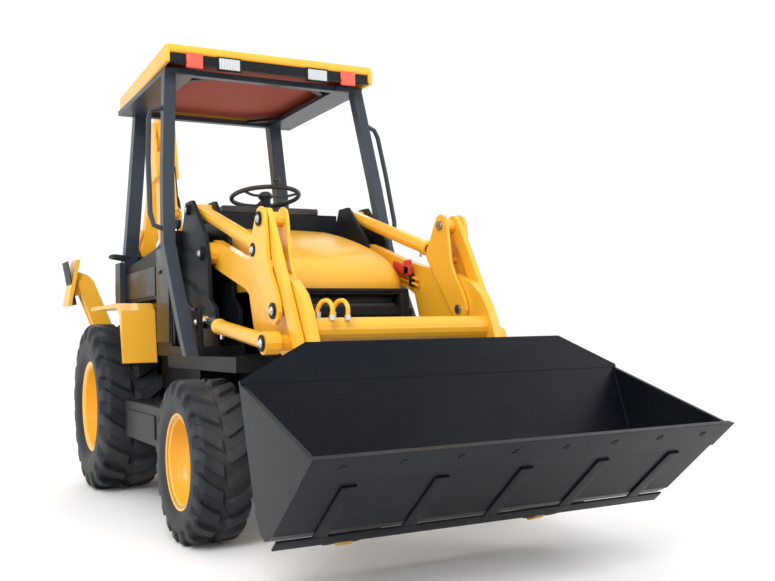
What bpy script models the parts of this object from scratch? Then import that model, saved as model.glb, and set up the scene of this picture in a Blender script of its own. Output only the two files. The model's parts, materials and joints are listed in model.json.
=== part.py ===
"""Compact backhoe loader: four-post canopy, front loader with a parallel tipping
linkage, and a folded backhoe with two stabilisers.

Metres, +Z up, the machine faces -Y and its left side is +X. Every place below is
measured from the ground under the middle of the front axle: (y, z) pairs lie in a
side view, and x is the distance from the middle plane. The whole machine hangs on
one empty, which puts the middle of its box over the origin.
"""
import math

import bmesh
import bpy
from mathutils import Matrix, Vector

# ---- clearances -----------------------------------------------------------------
FIT = 0.0003          # gap between faces that touch
SIDE_GAP = 0.0004     # gap beside a boss that turns between two plates
RUNNING = 0.005       # gap between plates that pass each other
SIDES = (("right", -1), ("left", 1))

# ---- overall --------------------------------------------------------------------
FRONT_AXLE_Y = -1.294
WHEELBASE = 1.864

# ---- wheels: tyre radius, tyre width, centre plane, bead seat and flange radius ---
FRONT_WHEEL = dict(y=0.0, radius=0.367, width=0.264, x=0.735, seat=0.196, flange=0.2225)
REAR_WHEEL = dict(y=WHEELBASE, radius=0.507, width=0.385, x=0.713, seat=0.250,
                  flange=0.279)
FRONT_HUB_X = 0.720   # inner faces of the wheel discs
REAR_HUB_X = 0.692
RIM_WALL = 0.008
DISC_THICK = 0.015
WHEEL_STEPS = 28
CYLINDER_STEPS = 12
CYLINDER_FLOOR = 0.060   # from a cylinder's base pin to the bottom of its bore

# ---- front axle -------------------------------------------------------------------
KINGPIN_X = 0.56
LUG_THICK = 0.030
FORK_HEIGHT = 0.235
HUB_FLANGE_RADIUS = 0.085

# ---- chassis ----------------------------------------------------------------------
FRAME_HALF = 0.35     # clears the steered front tyres
FRAME_BOTTOM = 0.520
FRAME_TOP = 0.800
DECK_HALF = 0.625
DECK_TOP = 0.830
DECK_THICK = 0.070
FRAME_REAR = 2.392 - FIT
BOX_HALF = 0.800      # outer faces of the side boxes between the wheels
BOX_TOP = 0.575
BOX_BOTTOM = 0.375

# ---- layers of the loader, as distances from the middle plane ----------------------
LEVER_INNER = (0.411, 0.427)
ARM_LAYER = (0.432, 0.476)
LINK_LAYER = (0.481, 0.509)
LEVER_OUTER = (0.514, 0.532)
TOWER_INNER = (0.395, 0.415)
TOWER_OUTER = (0.520, 0.540)
TOWER_THIRD = (0.600, 0.615)
TILT_X = 0.4675       # middle of the tilt cylinders
LIFT_X = 0.572        # middle of the lift cylinders

# ---- loader pins (y, z) -------------------------------------------------------------
ARM_PIVOT = (0.600, 1.360)
LEVER_PIVOT = (-0.388, 1.032)
LEVER_TOP = (-0.233, 1.449)
TILT_EYE = (-0.142, 1.317)
LEVER_WEB = (-0.204, 1.282)
TILT_BASE = (0.845, 1.620)
LIFT_BASE = (-0.450, 0.894)
LIFT_EYE = (0.470, 1.000)
LIFT_PIN_RADIUS = 0.028
BUCKET_PIVOT = (-0.870, 0.190)
TORQUE_TUBE = (-0.555, 0.945)
PIN_RADIUS = 0.022
BUCKET_SHAFT_RADIUS = 0.030
TILT_TUBE = 0.900     # from the base pin to the gland
TILT_INNER = 0.080    # from the base pin to the hidden end of the rod
LIFT_TUBE = 0.700
LIFT_INNER = 0.095

# ---- loader bucket ------------------------------------------------------------------
BUCKET_HALF = 0.880
BUCKET_WALL = 0.014
BUCKET_REAR_TOP = (-0.930, 0.758)
BUCKET_HEEL = (-1.135, 0.169)
BUCKET_TIP = (-1.596, 0.548)
BUCKET_BACK_RISE = 0.145   # how far the back stands above the side plates
BUCKET_BACK_HALF = 0.602
SIDE_WALL = 0.016
EDGE_THICK = 0.022
EDGE_DEPTH = 0.150

# ---- backhoe pins (y, z) --------------------------------------------------------------
SWING_Y = 2.880
SWING_LUGS = (0.540, 0.590, 0.990, 1.025)   # heights of the frame's two lugs
BOOM_FOOT = (3.050, 0.780)
BOOM_TIP = (3.420, 2.600)
DIPPER_LENGTH = 1.120
DIPPER_ANGLE = math.radians(300.5)
DIPPER_LEVER = 0.250
HOE_PIN_RADIUS = 0.016
HOE_LEVER_PIN = 0.020
DIPPER_LEVER_ANGLE = math.radians(108.0)
HOE_LINK = 0.200
HOE_LINK_ANGLE = math.radians(325.5)
BOOM_CYLINDER_BASE = (2.950, 1.090)
BOOM_CYLINDER_REACH = 1.000
DIPPER_CYLINDER_PLACE = (1.090, 0.165)   # along the boom and in front of its middle
BOOM_LAYER = 0.070    # half gap of the boom's fork and of the swing post's cheeks
BOOM_BODY = 0.060     # half width of the boom's box
DIPPER_BODY = 0.055   # half width of the dipper's box
EAR_GAP = 0.036       # half gap between the ears that hold a cylinder
HOE_LEVER_GAP = DIPPER_BODY + RUNNING   # half gap between the lever's plates
LINK_PLATE = 0.016
HOE_EARS = (0.062, 0.078)
HOE_BUCKET_HALF = 0.225
# the digging bucket from its dipper pin: along the line to its link pin, and off it
HOE_BUCKET_OUTLINE = ((-0.060, -0.070), (0.300, -0.070), (0.360, -0.160), (0.370, -0.300),
                      (0.310, -0.430), (0.180, -0.520), (0.000, -0.560), (-0.230, -0.600),
                      (-0.090, -0.300))
HOE_BUCKET_HOLLOW = ((-0.300, -0.084), (0.292, -0.084), (0.345, -0.166), (0.355, -0.298),
                     (0.298, -0.420), (0.175, -0.506), (0.000, -0.545), (-0.400, -0.614))
HOE_TOOTH = ((0.000, -0.550), (0.000, -0.575), (-0.320, -0.636), (-0.330, -0.612))

# ---- stabilisers, in the cross plane y = STAB_Y: (x, z) ---------------------------------
STAB_Y = 2.545
STAB_PIVOT = (0.460, 0.460)
STAB_PAD_PIN = (0.787, 1.300)
STAB_CYLINDER_BASE = (0.220, 1.170)
STAB_CYLINDER_REACH = 0.250
STAB_PLATES = (0.048, 0.066)
REAR_PLATES = (2.392, 2.412, 2.678, 2.698)

# ---- canopy ------------------------------------------------------------------------------
POST_SIZE = 0.065
ROOF_BOTTOM = 2.450
ROOF_TOP = 2.558
ROOF_FRONT = 0.904
ROOF_REAR = 2.250
ROOF_HALF_FRONT = 0.645
ROOF_HALF_REAR = 0.600

YELLOW = (0.85, 0.48, 0.03)
BLACK = (0.018, 0.022, 0.024)
SLATE = (0.075, 0.10, 0.14)
RUBBER = (0.020, 0.024, 0.028)
CHROME = (0.72, 0.76, 0.80)
STEEL = (0.35, 0.34, 0.32)

for old in list(bpy.data.objects):
    bpy.data.objects.remove(old, do_unlink=True)

PARTS = bpy.data.collections.new("backhoe_loader")
CUTTERS = bpy.data.collections.new("cutters")
bpy.context.scene.collection.children.link(PARTS)
bpy.context.scene.collection.children.link(CUTTERS)


# ---- hood: its side view from rear to nose, (y, z) ----------------------------------------
HOOD_HALF = 0.380
HOOD_WALL = 0.012
HOOD_TOP = ((0.935, 1.535), (0.560, 1.449), (0.275, 1.357), (0.150, 1.295), (0.085, 1.235),
            (0.070, 1.190))
HOOD_SIDE_BOTTOM = 1.150

# ---- loader towers: side views of the two pairs of plates, (y, z) --------------------
TOWER_OUTLINE = ((0.380, 0.860), (0.985, 0.860), (0.985, 1.500), (0.905, 1.665), (0.790, 1.665),
                 (0.560, 1.455), (0.515, 1.330), (0.500, 1.120), (0.400, 1.070))
TOWER_THIRD_OUTLINE = ((0.400, 0.860), (0.620, 0.860), (0.600, 1.040), (0.520, 1.060),
                       (0.420, 1.060))

# ---- steering wheel ------------------------------------------------------------
WHEEL_RADIUS = 0.200
WHEEL_GRIP = 0.014
WHEEL_CENTRE = Vector((0, 1.091, 1.750))
COLUMN_FOOT = Vector((0, 1.060, 1.560))
COLUMN_RUN = (WHEEL_CENTRE - COLUMN_FOOT).normalized()
HUB_DEPTH = 0.014     # from the steering wheel's middle down to its column

# ---- small helpers ------------------------------------------------------------------------
def empty(name, point, parent=None):
    """An empty on a joint's axis, placed from the front axle."""
    marker = bpy.data.objects.new(name, None)
    marker.empty_display_size = 0.1
    marker.location = point
    marker.parent = parent
    PARTS.objects.link(marker)
    return marker


MACHINE = empty("machine", (0.0, FRONT_AXLE_Y, 0.0))


def material(name, colour, roughness, metallic=0.0):
    made = bpy.data.materials.new(name)
    made.use_nodes = True
    shader = made.node_tree.nodes["Principled BSDF"]
    shader.inputs["Base Color"].default_value = (*colour, 1.0)
    shader.inputs["Roughness"].default_value = roughness
    shader.inputs["Metallic"].default_value = metallic
    return made


def finish(piece, name, body, colour, roughness=0.4, metallic=0.0):
    """Name a piece, hang it on its body's empty and give it its own material."""
    piece.name = name
    piece.data.name = name
    piece.data.materials.clear()
    piece.data.materials.append(material(name, colour, roughness, metallic))
    for polygon in piece.data.polygons:
        polygon.material_index = 0
    piece.parent = body
    if body is not MACHINE:
        piece.location = -body.location
    return piece


def from_bmesh(name, shape, collection=PARTS):
    bmesh.ops.recalc_face_normals(shape, faces=shape.faces)
    mesh = bpy.data.meshes.new(name)
    shape.to_mesh(mesh)
    shape.free()
    piece = bpy.data.objects.new(name, mesh)
    piece.parent = MACHINE
    collection.objects.link(piece)
    return piece


def block(x, y, z):
    """A box from three (low, high) pairs."""
    shape = bmesh.new()
    size = [high - low for low, high in (x, y, z)]
    middle = [(high + low) / 2 for low, high in (x, y, z)]
    place = Matrix.Translation(middle) @ Matrix.Diagonal((*size, 1.0))
    bmesh.ops.create_cube(shape, size=1.0, matrix=place)
    return from_bmesh("block", shape)


def bar(start, end, radius, segments=12, end_radius=None):
    """A round bar, or a cone, from one point to another."""
    start = Vector(start)
    run = Vector(end) - start
    turn = run.to_track_quat("Z", "Y").to_matrix().to_4x4()
    place = Matrix.Translation(start + run / 2) @ turn
    shape = bmesh.new()
    bmesh.ops.create_cone(
        shape, cap_ends=True, segments=segments, radius1=radius,
        radius2=radius if end_radius is None else end_radius,
        depth=run.length, matrix=place,
    )
    return from_bmesh("bar", shape)


def as_mesh(curve_object):
    """A curve object's solid as a welded mesh object in the same place."""
    bpy.context.view_layer.update()
    graph = bpy.context.evaluated_depsgraph_get()
    mesh = bpy.data.meshes.new_from_object(curve_object.evaluated_get(graph))
    shape = bmesh.new()
    shape.from_mesh(mesh)
    bpy.data.meshes.remove(mesh)
    bmesh.ops.remove_doubles(shape, verts=shape.verts, dist=0.00005)
    bmesh.ops.transform(shape, matrix=curve_object.matrix_basis, verts=shape.verts)
    bpy.data.objects.remove(curve_object, do_unlink=True)
    return from_bmesh("welded", shape)


def plate(outline, low, high, across="x"):
    """A flat outline given thickness: (y, z) points across x, (x, z) across y, or
    (x, y) across z."""
    curve = bpy.data.curves.new("outline", "CURVE")
    curve.dimensions = "2D"
    curve.fill_mode = "BOTH"
    curve.extrude = abs(high - low) / 2
    spline = curve.splines.new("POLY")
    spline.points.add(len(outline) - 1)
    for point, (u, v) in zip(spline.points, outline):
        point.co = (u, v, 0.0, 1.0)
    spline.use_cyclic_u = True
    piece = bpy.data.objects.new("outline", curve)
    PARTS.objects.link(piece)
    middle = (low + high) / 2
    turns = {
        "x": Matrix(((0, 0, 1, middle), (1, 0, 0, 0), (0, 1, 0, 0), (0, 0, 0, 1))),
        "y": Matrix(((1, 0, 0, 0), (0, 0, -1, middle), (0, 1, 0, 0), (0, 0, 0, 1))),
        "z": Matrix(((1, 0, 0, 0), (0, 1, 0, 0), (0, 0, 1, middle), (0, 0, 0, 1))),
    }
    piece.matrix_basis = turns[across]
    return as_mesh(piece)


def tube(points, radius, resolution=2):
    """A bent round tube along straight runs."""
    curve = bpy.data.curves.new("tube", "CURVE")
    curve.dimensions = "3D"
    curve.bevel_depth = radius
    curve.bevel_resolution = resolution
    curve.use_fill_caps = True
    spline = curve.splines.new("POLY")
    spline.points.add(len(points) - 1)
    for point, place in zip(spline.points, points):
        point.co = (*place, 1.0)
    piece = bpy.data.objects.new("tube", curve)
    PARTS.objects.link(piece)
    return as_mesh(piece)


def turned(profile, start, along, steps):
    """A (radius, height) profile turned about a line from start in direction along."""
    shape = bmesh.new()
    points = [shape.verts.new((radius, 0.0, height)) for radius, height in profile]
    for first, second in zip(points, points[1:]):
        shape.edges.new((first, second))
    mesh = bpy.data.meshes.new("turned")
    shape.to_mesh(mesh)
    shape.free()
    piece = bpy.data.objects.new("turned", mesh)
    PARTS.objects.link(piece)
    piece.parent = MACHINE
    screw = piece.modifiers.new("turn", "SCREW")
    screw.steps = steps
    screw.render_steps = steps
    screw.use_merge_vertices = True
    screw.merge_threshold = 0.0001
    bpy.context.view_layer.update()
    graph = bpy.context.evaluated_depsgraph_get()
    solid = bpy.data.meshes.new_from_object(piece.evaluated_get(graph))
    bpy.data.objects.remove(piece, do_unlink=True)
    shape = bmesh.new()
    shape.from_mesh(solid)
    bpy.data.meshes.remove(solid)
    turn = Vector(along).to_track_quat("Z", "Y").to_matrix().to_4x4()
    place = Matrix.Translation(start) @ turn
    bmesh.ops.transform(shape, matrix=place, verts=shape.verts)
    bmesh.ops.remove_doubles(shape, verts=shape.verts, dist=0.00005)
    return from_bmesh("turned", shape)


def boolean(piece, others, operation):
    """Join others to a piece, or cut them out of it."""
    for other in others:
        PARTS.objects.unlink(other)
        CUTTERS.objects.link(other)
        other.hide_render = True
        other.display_type = "WIRE"
        step = piece.modifiers.new(operation.lower(), "BOOLEAN")
        step.operation = operation
        step.solver = "EXACT"
        step.object = other
    return piece


def join(piece, *others):
    return boolean(piece, others, "UNION")


def cut(piece, *others):
    return boolean(piece, others, "DIFFERENCE")


def span(side, layer):
    """A layer on one side, as (low, high) along x."""
    return tuple(sorted((side * layer[0], side * layer[1])))


def cross_pin(point, x, radius, segments=12):
    """A round bar across the machine at a (y, z) point, between two x values."""
    return bar((x[0], *point), (x[1], *point), radius, segments)


def bore(point, x, radius, segments=12):
    """A cutter for a hole in which a bar of this radius turns freely."""
    return cross_pin(point, x, (radius + FIT) / math.cos(math.pi / segments), segments)


def polar(point, angle, length):
    """A (y, z) point at an angle from +Y and a distance from another."""
    return (point[0] + length * math.cos(angle), point[1] + length * math.sin(angle))


def at_angle(start, angle, along, off):
    """A (y, z) point along a line at an angle from a start, and off to its left."""
    return polar(polar(start, angle, along), angle + math.pi / 2, off)


def bar_x(point, half, radius, segments=12):
    return cross_pin(point, (-half, half), radius, segments)


def round_end(centre, radius, start, end, count):
    """Points of an arc about a (y, z) centre, from one angle in degrees to another."""
    steps = [start + (end - start) * i / (count - 1) for i in range(count)]
    return [polar(centre, math.radians(angle), radius) for angle in steps]


def strap(first, second, radius_first, radius_second, count=5):
    """Outline of a link plate with two round ends."""
    lean = math.degrees(math.atan2(second[1] - first[1], second[0] - first[0]))
    far = round_end(second, radius_second, lean - 90, lean + 90, count)
    near = round_end(first, radius_first, lean + 90, lean + 270, count)
    return far + near


def hydraulic(name, base, eye, tube_length, outer, rod, inner, bodies, eyes, bores=(None, None)):
    """A hydraulic cylinder: its tube turns on the base pin, its rod ends at the eye.

    tube_length runs from the base pin to the gland, inner from the base pin to the
    rod's hidden end. eyes holds each end's eye as (start, end, radius), bores a cutter
    for each end or None."""
    direction = (Vector(eye) - Vector(base)).normalized()
    bore = rod + 2 * FIT
    profile = [(0.0, CYLINDER_FLOOR), (bore, CYLINDER_FLOOR), (bore, tube_length),
               (outer, tube_length), (outer, outer * 0.6), (0.0, outer * 0.6)]
    shell = turned(profile, base, direction, CYLINDER_STEPS)
    barrel = join(shell, bar(*eyes[0]))
    if bores[0]:
        cut(barrel, bores[0])
    finish(barrel, name + "_barrel", bodies[0], YELLOW)
    start = Vector(base) + direction * inner
    shaft = bar(start, eye, rod, CYLINDER_STEPS)
    rod_piece = join(shaft, bar(*eyes[1]))
    if bores[1]:
        cut(rod_piece, bores[1])
    finish(rod_piece, name + "_rod", bodies[1], CHROME, 0.12, 1.0)


# ---- bodies --------------------------------------------------------------------------------
BODIES = {}


def body(name, x, point):
    """An empty on a moving body's joint, at x and a (y, z) point."""
    BODIES[name] = empty(name + "_joint", (x, *point), MACHINE)
    return BODIES[name]
for side_name, side in SIDES:
    body("steer_" + side_name, side * KINGPIN_X, (0.0, FRONT_WHEEL["radius"]))
    body("wheel_front_" + side_name, side * FRONT_WHEEL["x"], (0.0, FRONT_WHEEL["radius"]))
    body("wheel_rear_" + side_name, side * REAR_WHEEL["x"], (WHEELBASE, REAR_WHEEL["radius"]))
    body("stabiliser_" + side_name, side * STAB_PIVOT[0], (STAB_Y, STAB_PIVOT[1]))
    body("stabiliser_barrel_" + side_name, side * STAB_CYLINDER_BASE[0],
         (STAB_Y, STAB_CYLINDER_BASE[1]))
    body("stabiliser_rod_" + side_name, side * STAB_CYLINDER_BASE[0],
         (STAB_Y, STAB_CYLINDER_BASE[1]))

BOOM_ANGLE = math.atan2(BOOM_TIP[1] - BOOM_FOOT[1], BOOM_TIP[0] - BOOM_FOOT[0])
DIPPER_TIP = polar(BOOM_TIP, DIPPER_ANGLE, DIPPER_LENGTH)
DIPPER_HORN = polar(BOOM_TIP, DIPPER_LEVER_ANGLE, DIPPER_LEVER)
HOE_LEVER_PIVOT = polar(DIPPER_TIP, DIPPER_ANGLE + math.pi, HOE_LINK)
HOE_LEVER_TOP = polar(HOE_LEVER_PIVOT, HOE_LINK_ANGLE, HOE_LINK)
HOE_BUCKET_PIN = polar(DIPPER_TIP, HOE_LINK_ANGLE, HOE_LINK)
HOE_CYLINDER_BASE = polar(polar(BOOM_TIP, DIPPER_ANGLE, 0.10),
                          DIPPER_ANGLE + math.pi / 2, 0.15)
BOOM_EYE = polar(BOOM_FOOT, BOOM_ANGLE + math.radians(9.5), BOOM_CYLINDER_REACH)
DIPPER_CYLINDER_BASE = polar(polar(BOOM_FOOT, BOOM_ANGLE, DIPPER_CYLINDER_PLACE[0]),
                             BOOM_ANGLE + math.pi / 2, DIPPER_CYLINDER_PLACE[1])
BUCKET_EAR = (BUCKET_PIVOT[0] + LEVER_TOP[0] - LEVER_PIVOT[0],
              BUCKET_PIVOT[1] + LEVER_TOP[1] - LEVER_PIVOT[1])

for name, point in (
    ("loader_arms", ARM_PIVOT), ("lever_pins", LEVER_PIVOT), ("levers", LEVER_PIVOT),
    ("link_pins", LEVER_TOP), ("links", LEVER_TOP), ("bucket_shaft", BUCKET_PIVOT),
    ("bucket", BUCKET_PIVOT), ("tilt_barrels", TILT_BASE), ("tilt_rods", TILT_BASE),
    ("lift_barrels", LIFT_BASE), ("lift_rods", LIFT_BASE),
    ("swing", (SWING_Y, 0.0)), ("boom", BOOM_FOOT), ("dipper", BOOM_TIP),
    ("hoe_lever", HOE_LEVER_PIVOT), ("hoe_link", HOE_LEVER_TOP), ("hoe_bucket", DIPPER_TIP),
    ("boom_barrel", BOOM_CYLINDER_BASE), ("boom_rod", BOOM_CYLINDER_BASE),
    ("dipper_barrel", DIPPER_CYLINDER_BASE), ("dipper_rod", DIPPER_CYLINDER_BASE),
    ("hoe_barrel", HOE_CYLINDER_BASE), ("hoe_rod", HOE_CYLINDER_BASE),
):
    body(name, 0.0, point)


# ---- wheels and axles ------------------------------------------------------------------------
def wheel(name, side, size, hub_x, on):
    """A tyre and its rim. hub_x is where the hub's flange ends."""
    centre = (side * size["x"], size["y"], size["radius"])
    half, radius, seat = size["width"] / 2, size["radius"], size["seat"]
    bead = half * 0.80
    shoulder = (radius - seat) * 0.16
    right_half = [(seat + FIT, bead), (size["flange"] + 0.004, bead),
                  (seat + (radius - seat) * 0.45, half),
                  (radius - shoulder, half * 0.95), (radius, half * 0.72)]
    outline = right_half + [(r, -x) for r, x in reversed(right_half)]
    tyre = turned(outline + outline[:1], centre, (side, 0, 0), WHEEL_STEPS)
    finish(tyre, "tyre_" + name, on, RUBBER, 0.85)

    flange = half * 0.86
    step = bead + 0.004
    wall = seat - RIM_WALL
    face = hub_x + FIT - size["x"]
    profile = [(0, face + DISC_THICK), (wall, face + DISC_THICK), (wall, flange),
               (size["flange"], flange), (size["flange"], step), (seat, step),
               (seat, -step), (size["flange"], -step), (size["flange"], -flange),
               (wall, -flange), (wall, face), (0, face)]
    finish(turned(profile, centre, (side, 0, 0), WHEEL_STEPS), "rim_" + name, on, YELLOW)


for side_name, side in SIDES:
    wheel("front_" + side_name, side, FRONT_WHEEL, FRONT_HUB_X,
          BODIES["wheel_front_" + side_name])
    wheel("rear_" + side_name, side, REAR_WHEEL, REAR_HUB_X,
          BODIES["wheel_rear_" + side_name])
    height = FRONT_WHEEL["radius"]
    half = FORK_HEIGHT / 2 - LUG_THICK - FIT
    pin = bar((side * KINGPIN_X, 0, height - half), (side * KINGPIN_X, 0, height + half), 0.040)
    spindle = bar((side * KINGPIN_X, 0, height), (side * (FRONT_HUB_X - 0.01), 0, height), 0.036)
    flange = bar((side * (FRONT_HUB_X - 0.020), 0, height), (side * FRONT_HUB_X, 0, height),
                 HUB_FLANGE_RADIUS)
    finish(join(pin, spindle, flange), "knuckle_" + side_name,
           BODIES["steer_" + side_name], BLACK, 0.5)


def front_axle():
    z = FRONT_WHEEL["radius"]
    beam = block((-0.46, 0.46), (-0.060, 0.060), (z - 0.055, z + 0.055))
    pieces = [block((-0.10, 0.10), (-0.075, 0.075), (z, FRAME_BOTTOM - FIT))]
    for _, side in SIDES:
        pieces.append(block(span(side, (0.440, 0.512)), (-0.055, 0.055),
                            (z - FORK_HEIGHT / 2, z + FORK_HEIGHT / 2)))
        for direction in (-1, 1):
            edge = sorted((z + direction * FORK_HEIGHT / 2,
                           z + direction * (FORK_HEIGHT / 2 - LUG_THICK)))
            pieces.append(block(span(side, (0.505, KINGPIN_X + 0.042)), (-0.045, 0.045), edge))
    return finish(join(beam, *pieces), "front_axle", MACHINE, BLACK, 0.5)


def main_frame():
    """Chassis with the rear axle's housing, the front deck and the side boxes."""
    front = block((-FRAME_HALF, FRAME_HALF), (-0.240, 0.600), (FRAME_BOTTOM, FRAME_TOP))
    middle = block((-FRAME_HALF, FRAME_HALF), (0.520, FRAME_REAR), (0.400, FRAME_TOP + 0.01))
    deck = block((-DECK_HALF, DECK_HALF), (-0.160, 0.988), (DECK_TOP - DECK_THICK, DECK_TOP))
    boxes = block((-BOX_HALF, BOX_HALF), (0.500, 1.260), (BOX_BOTTOM, BOX_TOP))
    hangers = block((-0.56, 0.56), (0.600, 1.200), (BOX_TOP - 0.02, DECK_TOP - 0.02))
    y, z = REAR_WHEEL["y"], REAR_WHEEL["radius"]
    housing = bar((-REAR_HUB_X, y, z), (REAR_HUB_X, y, z), 0.085)
    case = bar((-0.15, y, z), (0.15, y, z), 0.160, 16)
    flanges = [bar((s * (REAR_HUB_X - 0.03), y, z), (s * REAR_HUB_X, y, z), 0.115)
               for _, s in SIDES]
    return finish(join(middle, front, deck, boxes, hangers, housing, case, *flanges),
                  "main_frame", MACHINE, BLACK, 0.5)


main_frame()
front_axle()

# ---- hood, engine and radiator nose ------------------------------------------------------------


def hood():
    rear = HOOD_TOP[0][0]
    outer = list(HOOD_TOP) + [(0.072, HOOD_SIDE_BOTTOM), (rear, HOOD_SIDE_BOTTOM)]
    inner = [(rear + 0.05, HOOD_TOP[0][1] - HOOD_WALL + 0.011)]
    inner += [(y + HOOD_WALL * 0.35, z - HOOD_WALL) for y, z in HOOD_TOP[:-1]]
    inner += [(HOOD_TOP[-1][0] + HOOD_WALL, 1.10), (rear + 0.05, 1.10)]
    shell = plate(outer, -HOOD_HALF, HOOD_HALF)
    hollow = plate(inner, -HOOD_HALF + HOOD_WALL, HOOD_HALF - HOOD_WALL)
    return finish(cut(shell, hollow), "hood", MACHINE, YELLOW)


hood()


def engine():
    """Engine block behind the radiator's black nose, which carries the hood."""
    nose = block((-0.355, 0.355), (0.000, 0.120), (DECK_TOP + FIT, HOOD_SIDE_BOTTOM - FIT))
    recess = block((-0.300, 0.300), (-0.05, 0.070), (0.900, HOOD_SIDE_BOTTOM - 0.03))
    ledge = block((-0.31, 0.31), (0.010, 0.080), (1.015, 1.060))
    motor = block((-0.260, 0.260), (0.110, 0.800), (DECK_TOP + FIT, 1.120))
    return finish(join(cut(nose, recess), ledge, motor), "engine", MACHINE, BLACK, 0.4)


engine()

# ---- loader towers -------------------------------------------------------------------------------


def loader_towers():
    firewall = block((-0.402, 0.402), (0.955, 0.978), (DECK_TOP + FIT, 1.480))
    pieces = []
    foot = (DECK_TOP + FIT, 0.875)
    for _, side in SIDES:
        pieces.append(block(span(side, (TOWER_INNER[0] - 0.003, TOWER_THIRD[1] + 0.003)),
                            (0.373, 0.991), foot))
        pieces.append(plate(TOWER_OUTLINE, *span(side, TOWER_INNER)))
        pieces.append(plate(TOWER_OUTLINE, *span(side, TOWER_OUTER)))
        pieces.append(plate(TOWER_THIRD_OUTLINE, *span(side, TOWER_THIRD)))
        pieces.append(block(span(side, (0.405, 0.530)), (0.950, 0.972), (0.868, 1.470)))
        for point, layer, radius in (
            (ARM_PIVOT, (TOWER_OUTER[1] - 0.002, TOWER_OUTER[1] + 0.014), 0.038),
            (TILT_BASE, (TOWER_OUTER[1] - 0.002, TOWER_OUTER[1] + 0.012), 0.030),
        ):
            pieces.append(cross_pin(point, span(side, layer), radius))
    return finish(join(firewall, *pieces), "loader_towers", MACHINE, BLACK, 0.45)


loader_towers()

# ---- loader arms and linkage ------------------------------------------------------------------------
ARM_OUTLINE = (
    [polar(ARM_PIVOT, math.radians(a), 0.072) for a in (-75, -40, -5, 30, 65, 100)]
    + [(0.126, 1.297), (0.000, 1.267), (-0.334, 1.200), (-0.459, 1.158), (-0.548, 1.096),
       (-0.603, 1.019), (-0.656, 0.900), (-0.930, 0.290)]
    + round_end(BUCKET_PIVOT, 0.080, 160, 345, 6)
    + [(-0.560, 0.640), (-0.400, 0.800), (-0.300, 0.860), (0.000, 0.930), (0.020, 0.977),
       (0.072, 1.124), (0.132, 1.154)]
)


def loader_arms():
    tie = bar((-ARM_LAYER[0] - 0.01, *TORQUE_TUBE), (ARM_LAYER[0] + 0.01, *TORQUE_TUBE), 0.052, 16)
    pieces = []
    holes = []
    for _, side in SIDES:
        pieces.append(plate(ARM_OUTLINE, *span(side, ARM_LAYER)))
        boss = (TOWER_INNER[1] + SIDE_GAP, TOWER_OUTER[0] - SIDE_GAP)
        pieces.append(cross_pin(ARM_PIVOT, span(side, boss), 0.060))
        pieces.append(cross_pin(LIFT_BASE, span(side, (0.470, 0.612)), LIFT_PIN_RADIUS))
        pieces.append(cross_pin(LIFT_BASE, span(side, (0.470, LIFT_X - 0.0354)), 0.034))
        holes.append(bore(LEVER_PIVOT, span(side, (0.42, 0.49)), PIN_RADIUS))
    holes.append(bore(BUCKET_PIVOT, (-0.5, 0.5), BUCKET_SHAFT_RADIUS, 16))
    return finish(cut(join(tie, *pieces), *holes), "loader_arms", BODIES["loader_arms"], YELLOW)


loader_arms()

LEVER_OUTLINE = (
    round_end(LEVER_TOP, 0.056, 20, 170, 5)
    + [(-0.318, 1.262), (-0.350, 1.199), (-0.408, 1.123)]
    + round_end(LEVER_PIVOT, 0.062, 150, 330, 6)
    + [(-0.220, 1.146)]
    + round_end(TILT_EYE, 0.052, -40, 60, 4)
)

LINK_LENGTH = math.dist(LEVER_TOP, BUCKET_EAR)
LINK_ANGLE = math.atan2(BUCKET_EAR[1] - LEVER_TOP[1], BUCKET_EAR[0] - LEVER_TOP[0])
LINK_OUTLINE = (
    round_end(LEVER_TOP, 0.052, math.degrees(LINK_ANGLE) + 110, math.degrees(LINK_ANGLE) + 270, 6)
    + round_end(BUCKET_EAR, 0.052, math.degrees(LINK_ANGLE) - 90, math.degrees(LINK_ANGLE) + 70, 6)
    + [at_angle(LEVER_TOP, LINK_ANGLE, LINK_LENGTH - 0.130, 0.018),
       at_angle(LEVER_TOP, LINK_ANGLE, 0.130, 0.018)]
)

for side_name, side in SIDES:
    inner = plate(LEVER_OUTLINE, *span(side, LEVER_INNER))
    outer = plate(LEVER_OUTLINE, *span(side, LEVER_OUTER))
    spacer = cross_pin(LEVER_TOP, span(side, (LEVER_INNER[1] - 0.002, LINK_LAYER[0] - FIT)), 0.034)
    web = cross_pin(LEVER_WEB, span(side, (0.420, 0.520)), 0.016)
    holes = [bore(point, span(side, (0.40, 0.54)), PIN_RADIUS)
             for point in (LEVER_PIVOT, LEVER_TOP)]
    lever = cut(join(inner, outer, spacer, web), *holes)
    finish(lever, "tilt_lever_" + side_name, BODIES["levers"], YELLOW)
    for point, title, owner in ((LEVER_PIVOT, "lever_pin_", "lever_pins"),
                                (LEVER_TOP, "link_pin_", "link_pins")):
        shank = cross_pin(point, span(side, (0.400, 0.536)), PIN_RADIUS)
        head = cross_pin(point, span(side, (LEVER_OUTER[1] + FIT, 0.5365)), 0.028)
        finish(join(shank, head), title + side_name, BODIES[owner], STEEL, 0.35, 1.0)
    link = plate(LINK_OUTLINE, *span(side, LINK_LAYER))
    link_holes = [bore(point, span(side, (0.46, 0.53)), PIN_RADIUS)
                  for point in (LEVER_TOP, BUCKET_EAR)]
    finish(cut(link, *link_holes), "tipping_link_" + side_name, BODIES["links"], YELLOW)

finish(cross_pin(BUCKET_PIVOT, (-0.545, 0.545), BUCKET_SHAFT_RADIUS, 16), "bucket_shaft",
       BODIES["bucket_shaft"], STEEL, 0.35, 1.0)


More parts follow.
